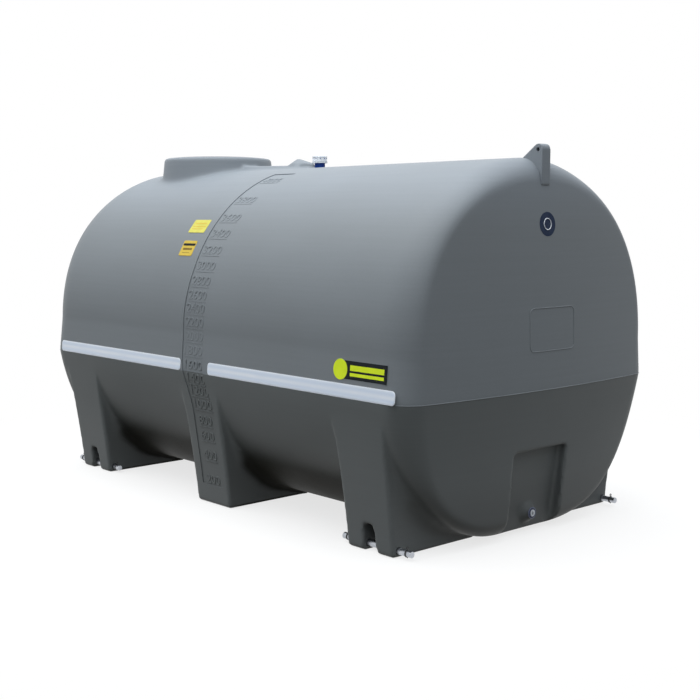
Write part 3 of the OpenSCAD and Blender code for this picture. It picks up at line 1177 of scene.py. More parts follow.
@dataclass
class Moulding(SubAssembly):
    """The one-piece moulded body: shell, feet, neck and the forms on top.

    Attributes:
        voxel: Cell size that the body is fused at.
        recess_half: Half the width of the drain recess at its top.
        recess_top: Height of its top.
        recess_x: Where its floor lies, at its top.
        recess_lean: How far that floor leans in, in degrees.
        recess_taper: How much each of its sides closes in, down to the ground.
        recess_r: Rounding of its upper corners.
        drain: Middle of the drain's face.
        drain_r: Radius of the boss round it.
        drain_h: Depth of that boss.
        flare: How much wider it is at its root.
        pin: Middle of a tie-down bore, on the front far side.
        bore_r: Radius of a bore.
        cut_x: Where the body is parted along its length, on each side of the middle.
        relax: Smoothing passes over the plain surfaces.
        blend: More passes over the feet's blends and the fillets on top.
        ridge_h: Height of the ridge at the neck.
        ridge_low: Its height at the boss.
        stand_in: How far the ends' skin stands in from the bead round them.
        stand_from: Where along the tank it begins to, over the next tenth of a metre.
        neck_x: Middle of the manhole's neck.
        foot_edge: Height under which the feet's soles keep their edge.
        pieces: The body's pieces by name, once they are parted.
    """

    voxel: float = 0.007
    recess_half: float = 0.156
    recess_top: float = 0.348
    recess_x: float = 1.231
    recess_lean: float = 7.0
    recess_taper: float = 0.006
    recess_r: float = 0.014
    drain: tuple = (1.225, 0.0, 0.084)
    drain_r: float = 0.023
    drain_h: float = 0.06
    flare: float = 0.045
    pin: tuple = (0.988, 0.614, 0.025)
    bore_r: float = 0.0145
    cut_x: float = 0.5
    relax: int = 8
    blend: int = 24
    ridge_h: float = 0.024
    ridge_low: float = 0.012
    stand_in: float = 0.0015
    stand_from: float = 1.1
    neck_x: float = -0.83
    foot_edge: float = 0.004
    pieces: dict[str, Obj] = field(default_factory=dict)

    TOP = ("manhole_neck", "fitting_boss")
    NECK_FILLET = ((0.262, 0.45), (1.3, 1.468))
    RIDGE_BOX = ((-0.6, -0.09, 1.4), (-0.07, 0.09, 1.46))
    RECESS_BOX = ((1.1, -0.162, 0.03), (1.242, 0.162, 0.355))
    FEET_BOX = ((-1.13, -1.0, 0.02), (1.13, 1.0, 0.56))
    STANDS_FOR = {
        "tank_upper_front": ["drain_end"],
        "tank_upper_middle": ["barrel", "top_pad", "fitting_boss"],
        "tank_upper_rear": ["plain_end", "manhole_neck"],
        "tank_lower_front": ["foot_front_near", "foot_front_far"],
        "tank_lower_middle": ["foot_middle_near", "foot_middle_far"],
        "tank_lower_rear": ["foot_rear_near", "foot_rear_far"],
    }

    def shell_form(self) -> Obj:
        """Make the closed outer form of the barrel and its ends.

        Returns:
            A closed mesh with the drain recess cut into it.
        """
        form = TankShape.of_frame().build()
        carve(form, self.recess_cutter())
        return form

    def recess_cutter(self) -> Obj:
        """Make the block that cuts the drain recess.

        Returns:
            The block, leaning and tapered, and rounded at its upper corners.
        """
        half, under, reach, waist = self.recess_half, 0.04, 0.2, -0.1
        block = slab((0, -half, -under - self.recess_top), (reach, half, 0))
        select_in(block, lambda co: co.z < waist)
        bpy.ops.transform.resize(value=(1, 1 - self.recess_taper / half, 1))
        round_edges(
            block,
            lambda a, b: min(a.z, b.z) > waist and abs(a.y - b.y) < 1e-4,
            self.recess_r,
            segments=6,
        )
        block.location = (self.recess_x, 0, self.recess_top)
        block.rotation_euler = (0, math.radians(self.recess_lean), 0)
        return settle(block, "recess cutter")

    def drain_boss(self) -> Obj:
        """Make the boss that carries the drain bush.

        Returns:
            A cone along the tank, wider at its root.
        """
        deselect()
        x, y, z = self.drain
        bpy.ops.mesh.primitive_cone_add(
            vertices=48,
            radius1=self.drain_r + self.flare,
            radius2=self.drain_r,
            depth=self.drain_h,
            location=(x - self.drain_h / 2, y, z),
            rotation=(0, math.radians(90), 0),
        )
        return settle(bpy.context.object, "drain boss")

    def ridge(self) -> Obj:
        """Make the low ridge from the neck to the boss.

        Returns:
            A rounded block that falls towards the boss.
        """
        low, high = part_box("top_pad")
        crown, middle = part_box("barrel")[1].z, -0.3
        ridge = slab((low.x - 0.04, low.y, low.z - 0.03), (high.x, high.y, crown + self.ridge_h))
        select_in(ridge, lambda co: co.x > middle and co.z > crown)
        bpy.ops.transform.translate(value=(0, 0, self.ridge_low - self.ridge_h))
        bpy.ops.object.mode_set(mode="OBJECT")
        return modify(ridge, "BEVEL", width=0.012, segments=3)

    def feet_forms(self) -> Obj:
        """Copy the six feet.

        Returns:
            All of them, with the panel's place on the near middle one left flush.
        """
        corners = [f"foot_{w}_{s}" for w in ("front", "rear") for s in ("near", "far")]
        plain = copy_of(["foot_middle_far"], "near middle foot")
        flip_across(plain)
        return join([copy_of([*corners, "foot_middle_far"], "feet"), plain], "feet")

    def stoppers(self) -> list[Obj]:
        """Fill the bores, which are cut again once the body is fused.

        Returns:
            Two short rods for each bore.
        """
        apart, length, radius = 0.08, 0.084, 0.0134
        made = []
        for end, side in CORNERS:
            x, y, z = mirrored(self.pin, end, side)
            made += [rod((x + way * apart, y, z), radius, length, "X") for way in (-1, 1)]
        return made

    def fuse(self) -> Obj:
        """Fuse all the forms into one body.

        Returns:
            The fused mesh, not yet parted.
        """
        top = copy_of(self.TOP, "top forms")
        forms = [self.shell_form(), self.drain_boss(), top, self.ridge(), self.feet_forms()]
        body = join(forms + self.stoppers(), "fused body")
        blend_voxels(body, self.voxel, 3)
        return body

    def on_top(self, co: Vector) -> bool:
        """Tell the soft fillets on the roof.

        Args:
            co: A place.

        Returns:
            Whether it is at a fillet of the neck, the ridge or the boss.
        """
        (inner, outer), (low, high) = self.NECK_FILLET
        by_neck = inner < math.hypot(co.x - self.neck_x, co.y) < outer and low < co.z < high
        return by_neck or within(co, self.RIDGE_BOX)

    def is_fillet(self, co: Vector) -> bool:
        """Whether a place is at a soft fillet of the neck, ridge, boss or recess."""
        return self.on_top(co) or within(co, self.RECESS_BOX)

    def is_blend(self, co: Vector) -> bool:
        """Whether a place is on a foot's blend into the belly, or at a fillet on the roof."""
        return self.on_top(co) or within(co, self.FEET_BOX)

    def soften(self, body: Obj) -> None:
        """Smooth the plain surfaces and fillets, and keep the crisp edges.

        Args:
            body: The fused body.
        """
        with editing(body):
            bpy.ops.mesh.bisect(plane_co=(0, 0, PARTING_Z), plane_no=(0, 0, 1))
            bpy.ops.mesh.select_mode(type="EDGE")
            bpy.ops.mesh.select_all(action="DESELECT")
            bpy.ops.mesh.edges_select_sharp(sharpness=math.radians(12))
            bpy.ops.mesh.select_mode(type="VERT")
            bpy.ops.mesh.select_more()
        glide(body, PARTING_Z, 12)
        plain = [
            v.index
            for v in body.data.vertices
            if abs(v.co.z - PARTING_Z) > TINY
            and v.co.z > self.foot_edge
            and (not v.select or self.is_fillet(v.co))
        ]
        self.relax_group(body, plain, self.relax)
        soft = [i for i in plain if self.is_blend(body.data.vertices[i].co)]
        self.relax_group(body, soft, self.blend)
        for vertex in body.data.vertices:
            past = min(1.0, max(0.0, (abs(vertex.co.x) - self.stand_from) / 0.1))
            vertex.co.x -= math.copysign(self.stand_in * past, vertex.co.x)

    def relax_group(self, body: Obj, chosen: list[int], passes: int) -> None:
        """Smooth some vertices of the body and leave the others.

        Args:
            body: The fused body.
            chosen: The vertices.
            passes: How many times.
        """
        free = body.vertex_groups.new(name="free")
        free.add(chosen, 1.0, "REPLACE")
        modify(body, "SMOOTH", factor=0.5, iterations=passes, vertex_group="free")
        body.vertex_groups.clear()

    def part(self, body: Obj, upper: bool, place: str) -> None:
        """Cut one piece out of the body, and keep it as a closed solid.

        Args:
            body: The fused body.
            upper: Whether it lies above the parting line.
            place: front, middle or rear.
        """
        piece = body.copy()
        piece.data = body.data.copy()
        bpy.context.scene.collection.objects.link(piece)
        bisect(piece, (0, 0, PARTING_Z), (0, 0, 1), keep_above=upper)
        if place != "front":
            stop = -self.cut_x if place == "rear" else self.cut_x
            bisect(piece, (stop, 0, 0), (1, 0, 0), keep_above=False)
        if place != "rear":
            start = self.cut_x if place == "front" else -self.cut_x
            bisect(piece, (start, 0, 0), (1, 0, 0), keep_above=True)
        rename(piece, f"tank_{'upper' if upper else 'lower'}_{place}")
        self.pieces[piece.name] = piece

    def cut_bores(self) -> None:
        """Cut the feet's tie-down bores."""
        for end in (End.FRONT, End.REAR):
            rods = [rod(mirrored(self.pin, end, side), self.bore_r, 0.4, "X") for side in Side]
            carve(self.pieces[f"tank_lower_{end.word}"], join(rods, "bores"))

    def build(self, panel: "ScalePanel", trim: "EndTrim") -> None:
        """Build the six pieces of the body.

        Args:
            panel: The volume scale panel, which is cut into the middle pieces.
            trim: The ends' trim, which keeps the parting line.
        """
        body = self.fuse()
        self.soften(body)
        panel.trace(body)
        trim.trace(body)
        for upper in (True, False):
            for place in ("front", "middle", "rear"):
                self.part(body, upper, place)
        bpy.data.objects.remove(body)
        self.cut_bores()
        panel.cut(self.pieces["tank_upper_middle"], self.pieces["tank_lower_middle"])
        for name, piece in self.pieces.items():
            self.show(piece, "body", "body", 50, self.STANDS_FOR[name])


@dataclass
class ScalePanel(SubAssembly):
    """The shallow panel that carries the volume scale, with its raised numbers.

    Attributes:
        left: Left edge of the panel.
        width: Its width.
        low_z: Its lower end.
        top_y: Where it ends on the roof, from the middle.
        depth: How deep it is let in.
        number_x: Middle of the numbers.
        drift: How far the panel strays along the tank, at the widest and on the foot.
        number_h: Height of a number.
        number_w: Its width, for each count of digits.
        raised: How far a number stands out of the panel.
        on_foot: How much further it stands out on the foot.
        foot_z: Height under which the panel lies on the foot.
        gap: From a bar up to its number.
        line: The skin's points up the middle of the panel, once they are traced.
    """

    left: float = -0.098
    width: float = 0.15
    low_z: float = 0.076
    top_y: float = 0.215
    depth: float = 0.003
    number_x: float = -0.018
    drift: tuple = (-0.011, 0.034)
    number_h: float = 0.04
    number_w: dict = field(default_factory=lambda: {3: 0.094, 4: 0.128})
    raised: float = 0.0011
    on_foot: float = 2.2
    foot_z: float = 0.55
    gap: float = 0.008
    line: list[Vector] = field(default_factory=list)

    VOLUMES = {
        400: 0.193, 600: 0.279, 800: 0.346, 1000: 0.415, 1200: 0.473, 1400: 0.525,
        1600: 0.581, 1800: 0.643, 2000: 0.703, 2200: 0.762, 2400: 0.821, 2600: 0.877,
        2800: 0.938, 3000: 1.002, 3200: 1.069, 3400: 1.14, 3600: 1.209, 3800: 1.289,
        4000: 1.381, 200: 0.084,
    }
    BARS = {200: (-0.08, 0.046)}

    def trace(self, body: Obj) -> None:
        """Follow the body's skin up the near side and over the shoulder.

        Args:
            body: The fused and softened body.
        """
        first, step, count, evenings = -48, 0.7, 191, 4
        centre = Vector((self.left + self.width / 2, 0, 0.6))
        points = []
        for turn in (math.radians(first + i * step) for i in range(count)):
            way = Vector((0, -math.cos(turn), math.sin(turn)))
            found, point, _, _ = body.ray_cast(centre + way * 2.0, -way)
            if found:
                points.append(point.copy())
        for _ in range(evenings):
            inner = [(a + b * 2 + c) / 4 for a, b, c in zip(points, points[1:], points[2:])]
            points = [points[0], *inner, points[-1]]
        self.line = points

    def along(self) -> list[tuple[Vector, Vector, Vector]]:
        """List the skin's points.

        Returns:
            Each point, the way up the skin and the way out of it.
        """
        found = []
        for before, at, after in zip(self.line, self.line[1:], self.line[2:]):
            up = (after - before).normalized()
            found.append((at, up, Vector((0, -up.z, up.y))))
        return found

    def at_height(self, z: float) -> tuple[Vector, Vector, Vector]:
        """Find the place on the panel's floor at a height.

        Args:
            z: The height.

        Returns:
            The place, the way up the panel and the way out of it.
        """
        rows = self.along()
        for (a, up_a, out_a), (b, up_b, out_b) in zip(rows, rows[1:]):
            if a.z <= z < b.z:
                t = (z - a.z) / (b.z - a.z)
                out = out_a.lerp(out_b, t).normalized()
                return a.lerp(b, t) - out * self.depth, up_a.lerp(up_b, t).normalized(), out
        raise ValueError(f"the panel doesn't reach {z}")

    def stray(self, z: float) -> float:
        """Find how far the panel strays along the tank.

        Args:
            z: A height.

        Returns:
            The distance there.
        """
        widest, foot = self.drift
        to_widest, to_foot = (1.05, 0.25), (0.64, 0.24)
        at_widest, at_foot = (ease((top - z) / span) for top, span in (to_widest, to_foot))
        return widest * at_widest + (foot - widest) * at_foot

    def cutter(self) -> Obj:
        """Make the solid that lets the panel into the body.

        Returns:
            A strip along the skin, from the panel's floor to well outside.
        """
        outside = 0.03
        rows = [r for r in self.along() if r[0].z > self.low_z and r[0].y < -self.top_y]
        points = []
        for at, _, out in rows:
            for offset in (-self.depth, outside):
                place = at + out * offset
                points.append((self.left + self.stray(at.z), place.y, place.z))
        faces = [(i, i + 1, i + 3, i + 2) for i in range(0, 2 * len(rows) - 2, 2)]
        solid = from_mesh("panel cutter", points, faces)
        with editing(solid):
            bpy.ops.mesh.extrude_region_move(TRANSFORM_OT_translate={"value": (self.width, 0, 0)})
            bpy.ops.mesh.select_all(action="SELECT")
            bpy.ops.mesh.normals_make_consistent(inside=False)
        return solid

    def cut(self, upper: Obj, lower: Obj) -> None:
        """Let the panel into the body.

        Args:
            upper: Its upper middle piece.
            lower: Its lower middle piece.
        """
        solid = self.cutter()
        carve(upper, solid, keep_cutter=True)
        carve(lower, solid)

    def digits(self, volume: int) -> Obj:
        """Shape a number's digits.

        Args:
            volume: The volume that it reads, in litres.

        Returns:
            The digits as a mesh, as the font lays them out.
        """
        deselect()
        bpy.ops.object.text_add()
        text = bpy.context.object.data
        text.body = str(volume)
        text.size = 0.05
        text.extrude = 0.0006
        text.bevel_depth = 0.0005
        text.bevel_resolution = 1
        text.resolution_u = 3
        bpy.ops.object.convert(target="MESH")
        return bpy.context.object

    def number(self, volume: int, z: float) -> Obj:
        """Raise one number and the bar under it.

        Args:
            volume: The volume that it reads, in litres.
            z: Height of its bar.

        Returns:
            The number and its bar as one mesh.
        """
        at, up, out = self.at_height(z)
        width = self.number_w[len(str(volume))]
        lift = self.raised * (self.on_foot if z < self.foot_z else 1.0)
        middle = Vector((self.number_x + self.stray(at.z), at.y, at.z))
        text = self.digits(volume)
        xs = [v.co.x for v in text.data.vertices]
        ys = [v.co.y for v in text.data.vertices]
        shift = Matrix.Translation((-(min(xs) + max(xs)) / 2, -min(ys), 0))
        wide, high = width / (max(xs) - min(xs)), self.number_h / (max(ys) - min(ys))
        size = Matrix.Diagonal((wide, high, lift / self.raised, 1))
        turn = Matrix((ALONG, up, out)).transposed().to_4x4()
        text.matrix_world = Matrix.Translation(middle + up * self.gap) @ turn @ size @ shift
        settle(text, "number")
        start, stop = self.BARS.get(volume, (-width / 2, width / 2))
        bar = slab((start, -0.0016, -0.001), (stop, 0.0016, lift))
        bar.matrix_world = Matrix.Translation(middle) @ turn
        settle(bar, "bar")
        return join([text, bar], "number")

    def build(self) -> None:
        """Raise all the numbers on the panel."""
        numbers = [self.number(volume, z) for volume, z in self.VOLUMES.items()]
        self.show(join(numbers, "scale_numbers"), "body", "body", 40)


@dataclass
class EndTrim(SubAssembly):
    """What is moulded and stuck on the drain end: the bead, a frame and a disc.

    Attributes:
        bead_r: Radius of the bead along the parting line.
        bead_from: Where along the tank the bead starts.
        bead_gap: Between two points of its line, at the least.
        frame_box: The frame's lowest and highest y and z.
        frame_r: Rounding of its corners.
        rail: Radius of its rail.
        disc_at: Middle of the disc, as y and z.
        disc_r: Radius of the disc.
        edge: The body's points at the parting line, once they are traced.
    """

    bead_r: float = 0.0018
    bead_from: float = 1.17
    bead_gap: float = 0.006
    frame_box: tuple = (-0.113, 0.727, 0.152, 0.89)
    frame_r: float = 0.022
    rail: float = 0.0018
    disc_at: tuple = (0.002, 1.204)
    disc_r: float = 0.046
    edge: list[Vector] = field(default_factory=list)

    def trace(self, body: Obj) -> None:
        """Keep the body's outline at the parting line."""
        self.edge = [v.co.copy() for v in body.data.vertices if abs(v.co.z - PARTING_Z) < TINY]

    def bead(self, end: End) -> None:
        """Run a thin raised bead round one end.

        Args:
            end: The end.
        """
        centre = 0.6
        points = [p for p in self.edge if p.x * end.value > self.bead_from]
        points.sort(key=lambda p: math.atan2(p.y, p.x * end.value - centre))
        spaced = [points[0]]
        for point in points:
            if (point - spaced[-1]).length > self.bead_gap:
                spaced.append(point)
        piece = tube(spaced, self.bead_r, f"parting_bead_{end.word}")
        self.show(piece, "body", "body", ROUND)

    def frame_line(self, target: Obj) -> list[Vector]:
        """Lay the frame's rounded outline on the end's skin.

        Args:
            target: The piece that it lies on.

        Returns:
            The outline's points.
        """
        y0, z0, y1, z1 = self.frame_box
        r, longest = self.frame_r, 0.02
        right, left, high, low = y1 - r, y0 + r, z1 - r, z0 + r
        corners = ((right, high, 0), (left, high, 90), (left, low, 180), (right, low, 270))
        flat = []
        for y, z, first in corners:
            for turn in (math.radians(first + 15 * i) for i in range(7)):
                flat.append((y + r * math.cos(turn), z + r * math.sin(turn)))
        full = []
        for (ya, za), (yb, zb) in zip(flat, flat[1:] + flat[:1]):
            parts = max(1, round(math.hypot(yb - ya, zb - za) / longest))
            full += [
                (ya + (yb - ya) * i / parts, za + (zb - za) * i / parts) for i in range(parts)
            ]
        return [hit([target], (2, y, z), -ALONG)[0] for y, z in full]

    def build(self, skin: Obj) -> None:
        """Build the beads, the frame and the disc.

        Args:
            skin: The upper front piece of the body.
        """
        for end in End:
            self.bead(end)
        frame_rail = tube(self.frame_line(skin), self.rail, "end_frame", closed=True)
        self.show(frame_rail, "body", "body", ROUND)
        at, out = hit([skin], (2, *self.disc_at), -ALONG)
        r = self.disc_r
        disc = plate(at, out, ACROSS, (r * 2, r * 2), r, "end_disc")
        self.show(disc, "disc_blue", "breather_blue", 0)
        ring = tube_ring(at + out * PLATE_OVER, out, r * 0.46, self.rail, "end_disc_ring")
        self.show(ring, "white", "breather_white", 0)


@dataclass
class Stickers(SubAssembly):
    """Plain stickers without any lettering, and the reflective strips.

    Attributes:
        strips: Where the strips towards each end begin and stop.
        proud: How far a print or a tape lies above what is under it.
        edging: Width of the white edging beside the tape.
        step: From the parting line up to a strip.
    """

    strips: dict = field(
        default_factory=lambda: {End.FRONT: (0.082, 1.2), End.REAR: (-1.153, -0.117)}
    )
    proud: float = 0.0008
    edging: float = 0.0035
    step: float = 0.0004

    LABELS = (
        ("label_upper", (-0.262, 1.163), (-0.142, 1.218), 0.006, 0.0, "yellow"),
        ("label_lower", (-0.25, 1.064), (-0.152, 1.128), 0.007, 0.0, "amber"),
        ("label_upper_line_a", (-0.245, 1.2), (-0.162, 1.2045), 0.001, 0.0004, "amber"),
        ("label_upper_line_b", (-0.25, 1.188), (-0.156, 1.1915), 0.001, 0.0004, "amber"),
        ("label_upper_line_c", (-0.25, 1.178), (-0.166, 1.1815), 0.001, 0.0004, "amber"),
        ("label_band", (-0.246, 1.107), (-0.156, 1.125), 0.005, 0.0004, "black"),
        ("label_line_a", (-0.234, 1.089), (-0.168, 1.097), 0.001, 0.0004, "brown"),
        ("label_line_b", (-0.23, 1.073), (-0.176, 1.078), 0.001, 0.0004, "brown"),
        ("sign_back", (0.93, 0.648), (1.153, 0.715), 0.001, 0.0, "black"),
        ("sign_bar", (0.962, 0.66), (1.14, 0.672), 0.001, 0.0004, "lime"),
        ("sign_stripe", (0.962, 0.68), (1.14, 0.7), 0.001, 0.0004, "lime"),
        ("sign_disc", (0.871, 0.643), (0.947, 0.719), 0.038, 0.0005, "lime"),
    )

    def stick(
        self, skins: list[Obj], low: tuple, high: tuple, radius: float, lift: float, name: str
    ) -> Obj:
        """Lay one sticker on the near side.

        Args:
            skins: The pieces of the body that it may lie on.
            low: Its lowest x and z.
            high: Its highest x and z.
            radius: Rounding of its corners.
            lift: How far it lies above the skin.
            name: Its name.

        Returns:
            The sticker.
        """
        x, mid_z = (low[0] + high[0]) / 2, (low[1] + high[1]) / 2
        foot, at, head = (hit(skins, (x, -2, z), ACROSS)[0] for z in (low[1], mid_z, high[1]))
        up = (head - foot).normalized()
        out = Vector((0, -up.z, up.y))
        size = (high[0] - low[0], (head - foot).length)
        mid = (head + foot) / 2
        drop = (at - mid).dot(out)
        return plate(mid + out * (drop + lift), out, ALONG, size, radius, name)

    def build(self, skins: list[Obj]) -> None:
        """Stick them all.

        Args:
            skins: The pieces of the body that they lie on.
        """
        for name, low, high, radius, lift, key in self.LABELS:
            self.show(self.stick(skins, low, high, radius, lift, name), key, "reflective", 0)
        for end, side in CORNERS:
            self.strip(skins, end, side)

    def strip(self, skins: list[Obj], end: End, side: Side) -> None:
        """Lay one reflective strip: a white edging and the banded tape inside it.

        Args:
            skins: The pieces of the body that it lies on.
            end: The end that it lies towards.
            side: The side that it lies on.
        """
        node = f"strip_{end.word}_{side.word}"
        low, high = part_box(node)
        start, stop = self.strips[end]
        layers = (
            ("edging", 0.0, 0.0, 0.016, [node]),
            ("tape", self.proud, self.edging, 0.0125, []),
        )
        for key, lift, shrink, radius, stands_for in layers:
            a = (start + shrink, low.z + self.step + shrink)
            b = (stop - shrink, high.z - shrink)
            layer = self.stick(skins, a, b, radius, lift, f"{node}_{key}")
            if side is Side.FAR:
                flip_across(layer)
            self.show(layer, key, "reflective", 0, stands_for)


@dataclass
class Lugs(SubAssembly):
    """The two lifting lugs, each with a crisp outline, soft edges and an eye.

    Attributes:
        voxel: Fineness of the meshes.
        root: How far a lug runs into the skin.
        eye: Middle of the eye, on the front end.
        eye_r: Radius of the eye.
        thick: Length of the plug that fills the eye of the node.
        through: Length of the rod that cuts the eye again.
    """

    voxel: float = 0.0024
    root: float = 0.006
    eye: tuple = (1.243, 0.0, 1.482)
    eye_r: float = 0.008
    thick: float = 0.047
    through: float = 0.1

    def lug(self, end: End) -> None:
        """Build one lug.

        Args:
            end: The end that it stands on.
        """
        node = f"lifting_lug_{end.word}"
        eye = mirrored(self.eye, end)
        forms = [copy_of([node], "lug"), copy_of([node], "lug root")]
        forms[1].location = (-end.value * self.root, 0, -self.root)
        settle(forms[1], "lug root")
        plug = rod(eye, self.eye_r + 0.001, self.thick, "Y")
        lug = join([*forms, plug], f"lug_{end.word}")
        blend_voxels(lug, self.voxel, 8)
        carve(lug, rod(eye, self.eye_r, self.through, "Y"))
        self.show(lug, "body", "body", 40, [node])

    def build(self) -> None:
        """Build both."""
        for end in End:
            self.lug(end)


@dataclass
class Fittings(SubAssembly):
    """Detail on the breather, the lid and the drain.

    Attributes:
        breather_x: Middle of the breather.
        drain: Middle of the drain's face.
        windows: How many windows the breather's cap has.
        ribs: How many ribs its neck has.
        lid_ribs: How many ribs the lid has.
    """

    breather_x: float = -0.04
    drain: tuple = (1.2272, 0.0, 0.084)
    windows: int = 10
    ribs: int = 20
    lid_ribs: int = 12

    def spaced(self, low: tuple, high: tuple, x: float, count: int, name: str) -> Obj:
        """Set copies of one block evenly round an upright axis.

        Args:
            low: The first one's lowest corner.
            high: Its highest corner.
            x: Place of the axis, in the tank's middle plane.
            count: How many there are.
            name: The joined mesh's name.

        Returns:
            All of them as one mesh.
        """
        place = Matrix.Translation((x, 0, 0))
        made = []
        for step in range(count):
            block = slab(low, high)
            turn = Matrix.Rotation(2 * math.pi * step / count, 4, "Z")
            block.data.transform(place @ turn @ place.inverted())
            made.append(block)
        return join(made, name)

    def breather(self) -> None:
        """Add the cap's dark windows and grey rims, and the neck's ribs."""
        x = self.breather_x
        low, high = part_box("breather_cap")
        top, r = high.z, (high.x - low.x) / 2
        back, front, half, sill, head = 0.0055, 0.0012, 0.002, 0.0165, 0.0135
        a, b = (x + r - back, -half, top - sill), (x + r - front, half, top - head)
        windows = self.spaced(a, b, x, self.windows, "breather_windows")
        self.show(windows, "blue", "breather_blue")
        wire = 0.0011
        lines = ((low.z + 0.0012, 0.001), (low.z + 0.0068, 0.001), (top - 0.0075, 0.0014))
        rims = [tube_ring(Vector((x, 0, z)), UP, r - inset, wire, "rim") for z, inset in lines]
        self.show(join(rims, "breather_rims"), "grey", "breather_white", ROUND)
        left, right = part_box("breather_neck")
        r, crown = (right.x - left.x) / 2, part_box("barrel")[1].z
        root, proud, half, gap = 0.002, 0.0016, 0.0013, 0.001
        a, b = (x + r - root, -half, crown + gap), (x + r + proud, half, low.z)
        self.show(self.spaced(a, b, x, self.ribs, "breather_ribs"), "blue", "breather_blue")

    def drain_fitting(self) -> None:
        """Add the bush's raised rim, and the slot in the plug as a black bar of painted shade."""
        at = Vector(self.drain)
        rims = (
            ("drain_rim", 0.0, 0.0168, 0.0028, "navy"),
            ("drain_edge", 0.001, 0.0212, 0.0018, "slate"),
        )
        for name, back, radius, wire, key in rims:
            rim = tube_ring(at - ALONG * back, ALONG, radius, wire, name)
            self.show(rim, key, "bush", ROUND)
        # the plug's slot is a black bar: painted shade of a slot in the pale plug
        face, sunk, proud, half_w, half_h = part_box("drain_plug")[1].x, 0.001, 0.0006, 0.0012, 0.008
        a, b = (face - sunk, -half_w, at.z - half_h), (face + proud, half_w, at.z + half_h)
        self.show(modify(slab(a, b), "BEVEL", width=0.0005, segments=2), "bush", "plug")

    def lid_detail(self) -> None:
        """Add the lid's raised ribs and its middle boss."""
        low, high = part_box("manhole_lid")
        x, top = (low.x + high.x) / 2, high.z
        inner, outer, half, root, under = 0.045, 0.19, 0.004, 0.007, 0.001
        a, b = (x + inner, -half, top - root), (x + outer, half, top - under)
        ribs = self.spaced(a, b, x, self.lid_ribs, "lid_ribs")
        self.show(modify(ribs, "BEVEL", width=0.0015, segments=2), "lid", "lid")
        radius, depth, middle = 0.05, 0.007, top - 0.0045
        deselect()
        bpy.ops.mesh.primitive_cylinder_add(
            vertices=64, radius=radius, depth=depth, location=(x, 0, middle)
        )
        boss = settle(bpy.context.object, "lid_boss")
        modify(boss, "BEVEL", width=0.001, segments=2, limit_method="ANGLE")
        self.show(boss, "lid", "lid")

    def build(self) -> None:
        """Build all of it."""
        self.breather()
        self.drain_fitting()
        self.lid_detail()


@dataclass
class PinClips(SubAssembly):
    """Clips through the cross holes of the tie-down pins, black partly as their own colour and
    partly as painted shade.

    Attributes:
        hole_in: From a pin's end to its cross hole.
        wire: Radius of the wire.
        loop: Radius of the loop above the pin.
        under: How far the leg stands out under the pin.
        over: How far above the pin the loop begins.
    """

    hole_in: float = 0.025
    wire: float = 0.0016
    loop: float = 0.0045
    under: float = 0.004
    over: float = 0.003

    def clip(self, at: Vector, r: float, name: str) -> None:
        """Bend one clip: a leg through the hole, a turn round the pin and a loop above.

        Args:
            at: Middle of the hole.
            r: Radius of the pin.
            name: The clip's name.
        """
        path = [at - UP * (r + self.under), at + UP * (r + self.over)]
        middle = at + UP * (r + self.over + self.loop)
        for turn in (math.radians(-90 + 30 * i) for i in range(11)):
            path.append(middle + (ACROSS * math.cos(turn) + UP * math.sin(turn)) * self.loop)
        leg = tube(path, self.wire, "leg")
        bands = [
            tube_ring(at + ALONG * shift, ALONG, r, self.wire, "band")
            for shift in (-0.0022, 0, 0.0022)
        ]
        # the wire's black is partly the clips' own colour and partly painted shade, as they sit in
        # shadow
        self.show(join([leg, *bands], name), "wire", "bush", ROUND)

    def build(self) -> None:
        """Clip every pin at both of its ends."""
        for end, side in CORNERS:
            low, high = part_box(f"tie_pin_{end.word}_{side.word}")
            y, z, r = (low.y + high.y) / 2, (low.z + high.z) / 2, (high.z - low.z) / 2
            for x, mark in ((low.x + self.hole_in, "a"), (high.x - self.hole_in, "b")):
                self.clip(Vector((x, y, z)), r, f"clip_{end.word}_{side.word}_{mark}")


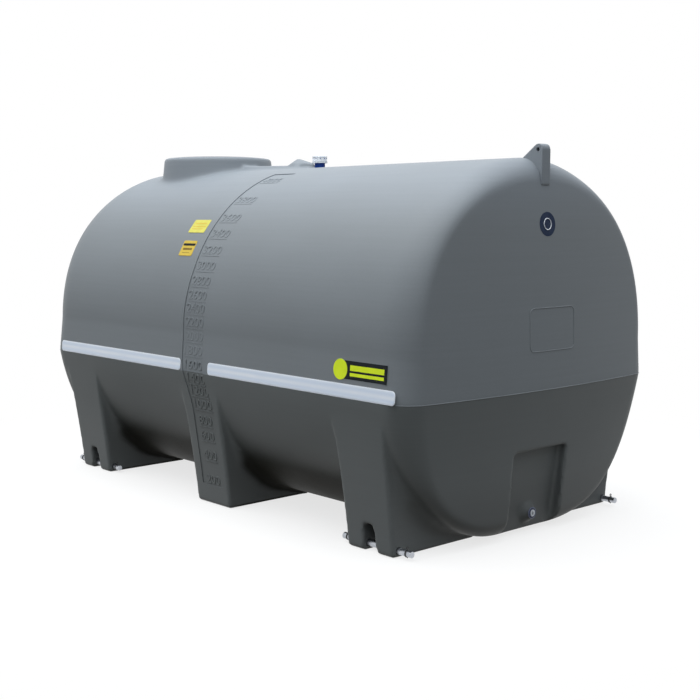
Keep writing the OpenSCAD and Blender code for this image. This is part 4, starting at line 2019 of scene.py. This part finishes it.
class Stage:
    """The floor, the light and the camera."""

    WHITE = (1.0, 1.0, 1.0)
    FLOOR, FLOOR_LIT = (0.95, 0.92, 0.87), (0.03, 0.027, 0.021)
    HORIZON, ZENITH = (0.246, 0.272, 0.293), (1.5, 1.62, 1.8)
    FLOOR_FADE = (1.0, 2.6, 0.74, 1.0)
    SKY_TILT = (-0.1, 0.0, 0.995)
    LAMP_AT, LAMP_TO = Vector((-0.2, -1.0, 5.0)), Vector((0, 0, 0.6))
    CAMERA_AT = (4.0805, -3.5284, 1.2243)
    CAMERA_TURN = (90 - 6.465, 0, 47.972)

    def floor(self) -> None:
        """Add a pale floor that keeps the tank's shadow and fades to white."""
        deselect()
        bpy.ops.mesh.primitive_plane_add(size=80, location=(0, 0, -0.0005))
        floor = settle(bpy.context.object, "floor")
        material, g = new_material("Pale floor")
        far = g.step(g.measure("LENGTH", g.at()), *self.FLOOR_FADE)
        pale = g.add("ShaderNodeBsdfDiffuse", color=self.FLOOR).outputs[0]
        white = g.add("ShaderNodeEmission", color=self.WHITE, strength=1.0).outputs[0]
        dim = g.add("ShaderNodeBsdfDiffuse", color=self.FLOOR_LIT).outputs[0]
        seen = g.fed("ShaderNodeMixShader", (far, pale, white)).outputs[0]
        g.by_ray("Material", dim, seen)
        floor.data.materials.append(material)

    def sky(self) -> None:
        """Light the tank from a soft sky that looks white behind it."""
        world = bpy.data.worlds.new("Studio sky")
        bpy.context.scene.world = world
        world.use_nodes = True
        g = Graph(world.node_tree)
        up = g.measure("DOT_PRODUCT", g.at("Generated"), self.SKY_TILT)
        glow = g.mix(g.ramp(up, 0.1, 1.0), self.HORIZON, self.ZENITH)
        lit = g.add("ShaderNodeBackground", color=glow, strength=1.0).outputs[0]
        white = g.add("ShaderNodeBackground", color=self.WHITE, strength=1.0).outputs[0]
        g.by_ray("World", lit, white)

    def lamps(self) -> None:
        """Hang a broad lamp over the tank."""
        deselect()
        bpy.ops.object.light_add(type="AREA", location=self.LAMP_AT)
        lamp = bpy.context.object
        lamp.name = "overhead"
        lamp.data.size = 5.0
        lamp.data.energy = 190
        lamp.data.color = (0.95, 0.98, 1.0)
        way = self.LAMP_TO - lamp.location
        lamp.rotation_euler = way.to_track_quat("-Z", "Y").to_euler()

    def camera(self) -> None:
        """Stand the camera off the corner between the drain end and the scale side."""
        data = bpy.data.cameras.new("view")
        data.lens = 60.43
        data.sensor_width = 36.0
        data.shift_y = 0.0025
        data.clip_end = 200.0
        camera = bpy.data.objects.new("view", data)
        bpy.context.scene.collection.objects.link(camera)
        camera.location = self.CAMERA_AT
        camera.rotation_euler = [math.radians(turn) for turn in self.CAMERA_TURN]
        bpy.context.scene.camera = camera

    def build(self) -> None:
        """Set the whole stage."""
        self.floor()
        self.sky()
        self.lamps()
        self.camera()
        bpy.context.scene.view_settings.view_transform = "Standard"


def dress_nodes(finishes: Finishes) -> None:
    """Give every CAD node its finish.

    Args:
        finishes: The finishes to choose from.
    """
    keys = {"reflective": "tape", "breather_blue": "blue", "breather_white": "white"}
    for part in frame["record"]["subparts"]:
        slot = part["material_slot"]
        node = frame["nodes"][part["node"]]
        node.data.materials.clear()
        node.data.materials.append(finishes[keys.get(slot, slot)])


def main() -> None:
    """Build the looks in order."""
    logging.basicConfig(level=logging.INFO, format="%(name)s %(message)s", force=True)
    Stage().build()
    finishes = Finishes()
    dress_nodes(finishes)
    panel = ScalePanel(finishes)
    trim = EndTrim(finishes)
    moulding = Moulding(finishes)
    moulding.build(panel, trim)
    panel.build()
    trim.build(moulding.pieces["tank_upper_front"])
    uppers = [piece for name, piece in moulding.pieces.items() if "upper" in name]
    Stickers(finishes).build(uppers)
    PinClips(finishes).build()
    Lugs(finishes).build()
    Fittings(finishes).build()


if __name__ == "__main__":
    main()
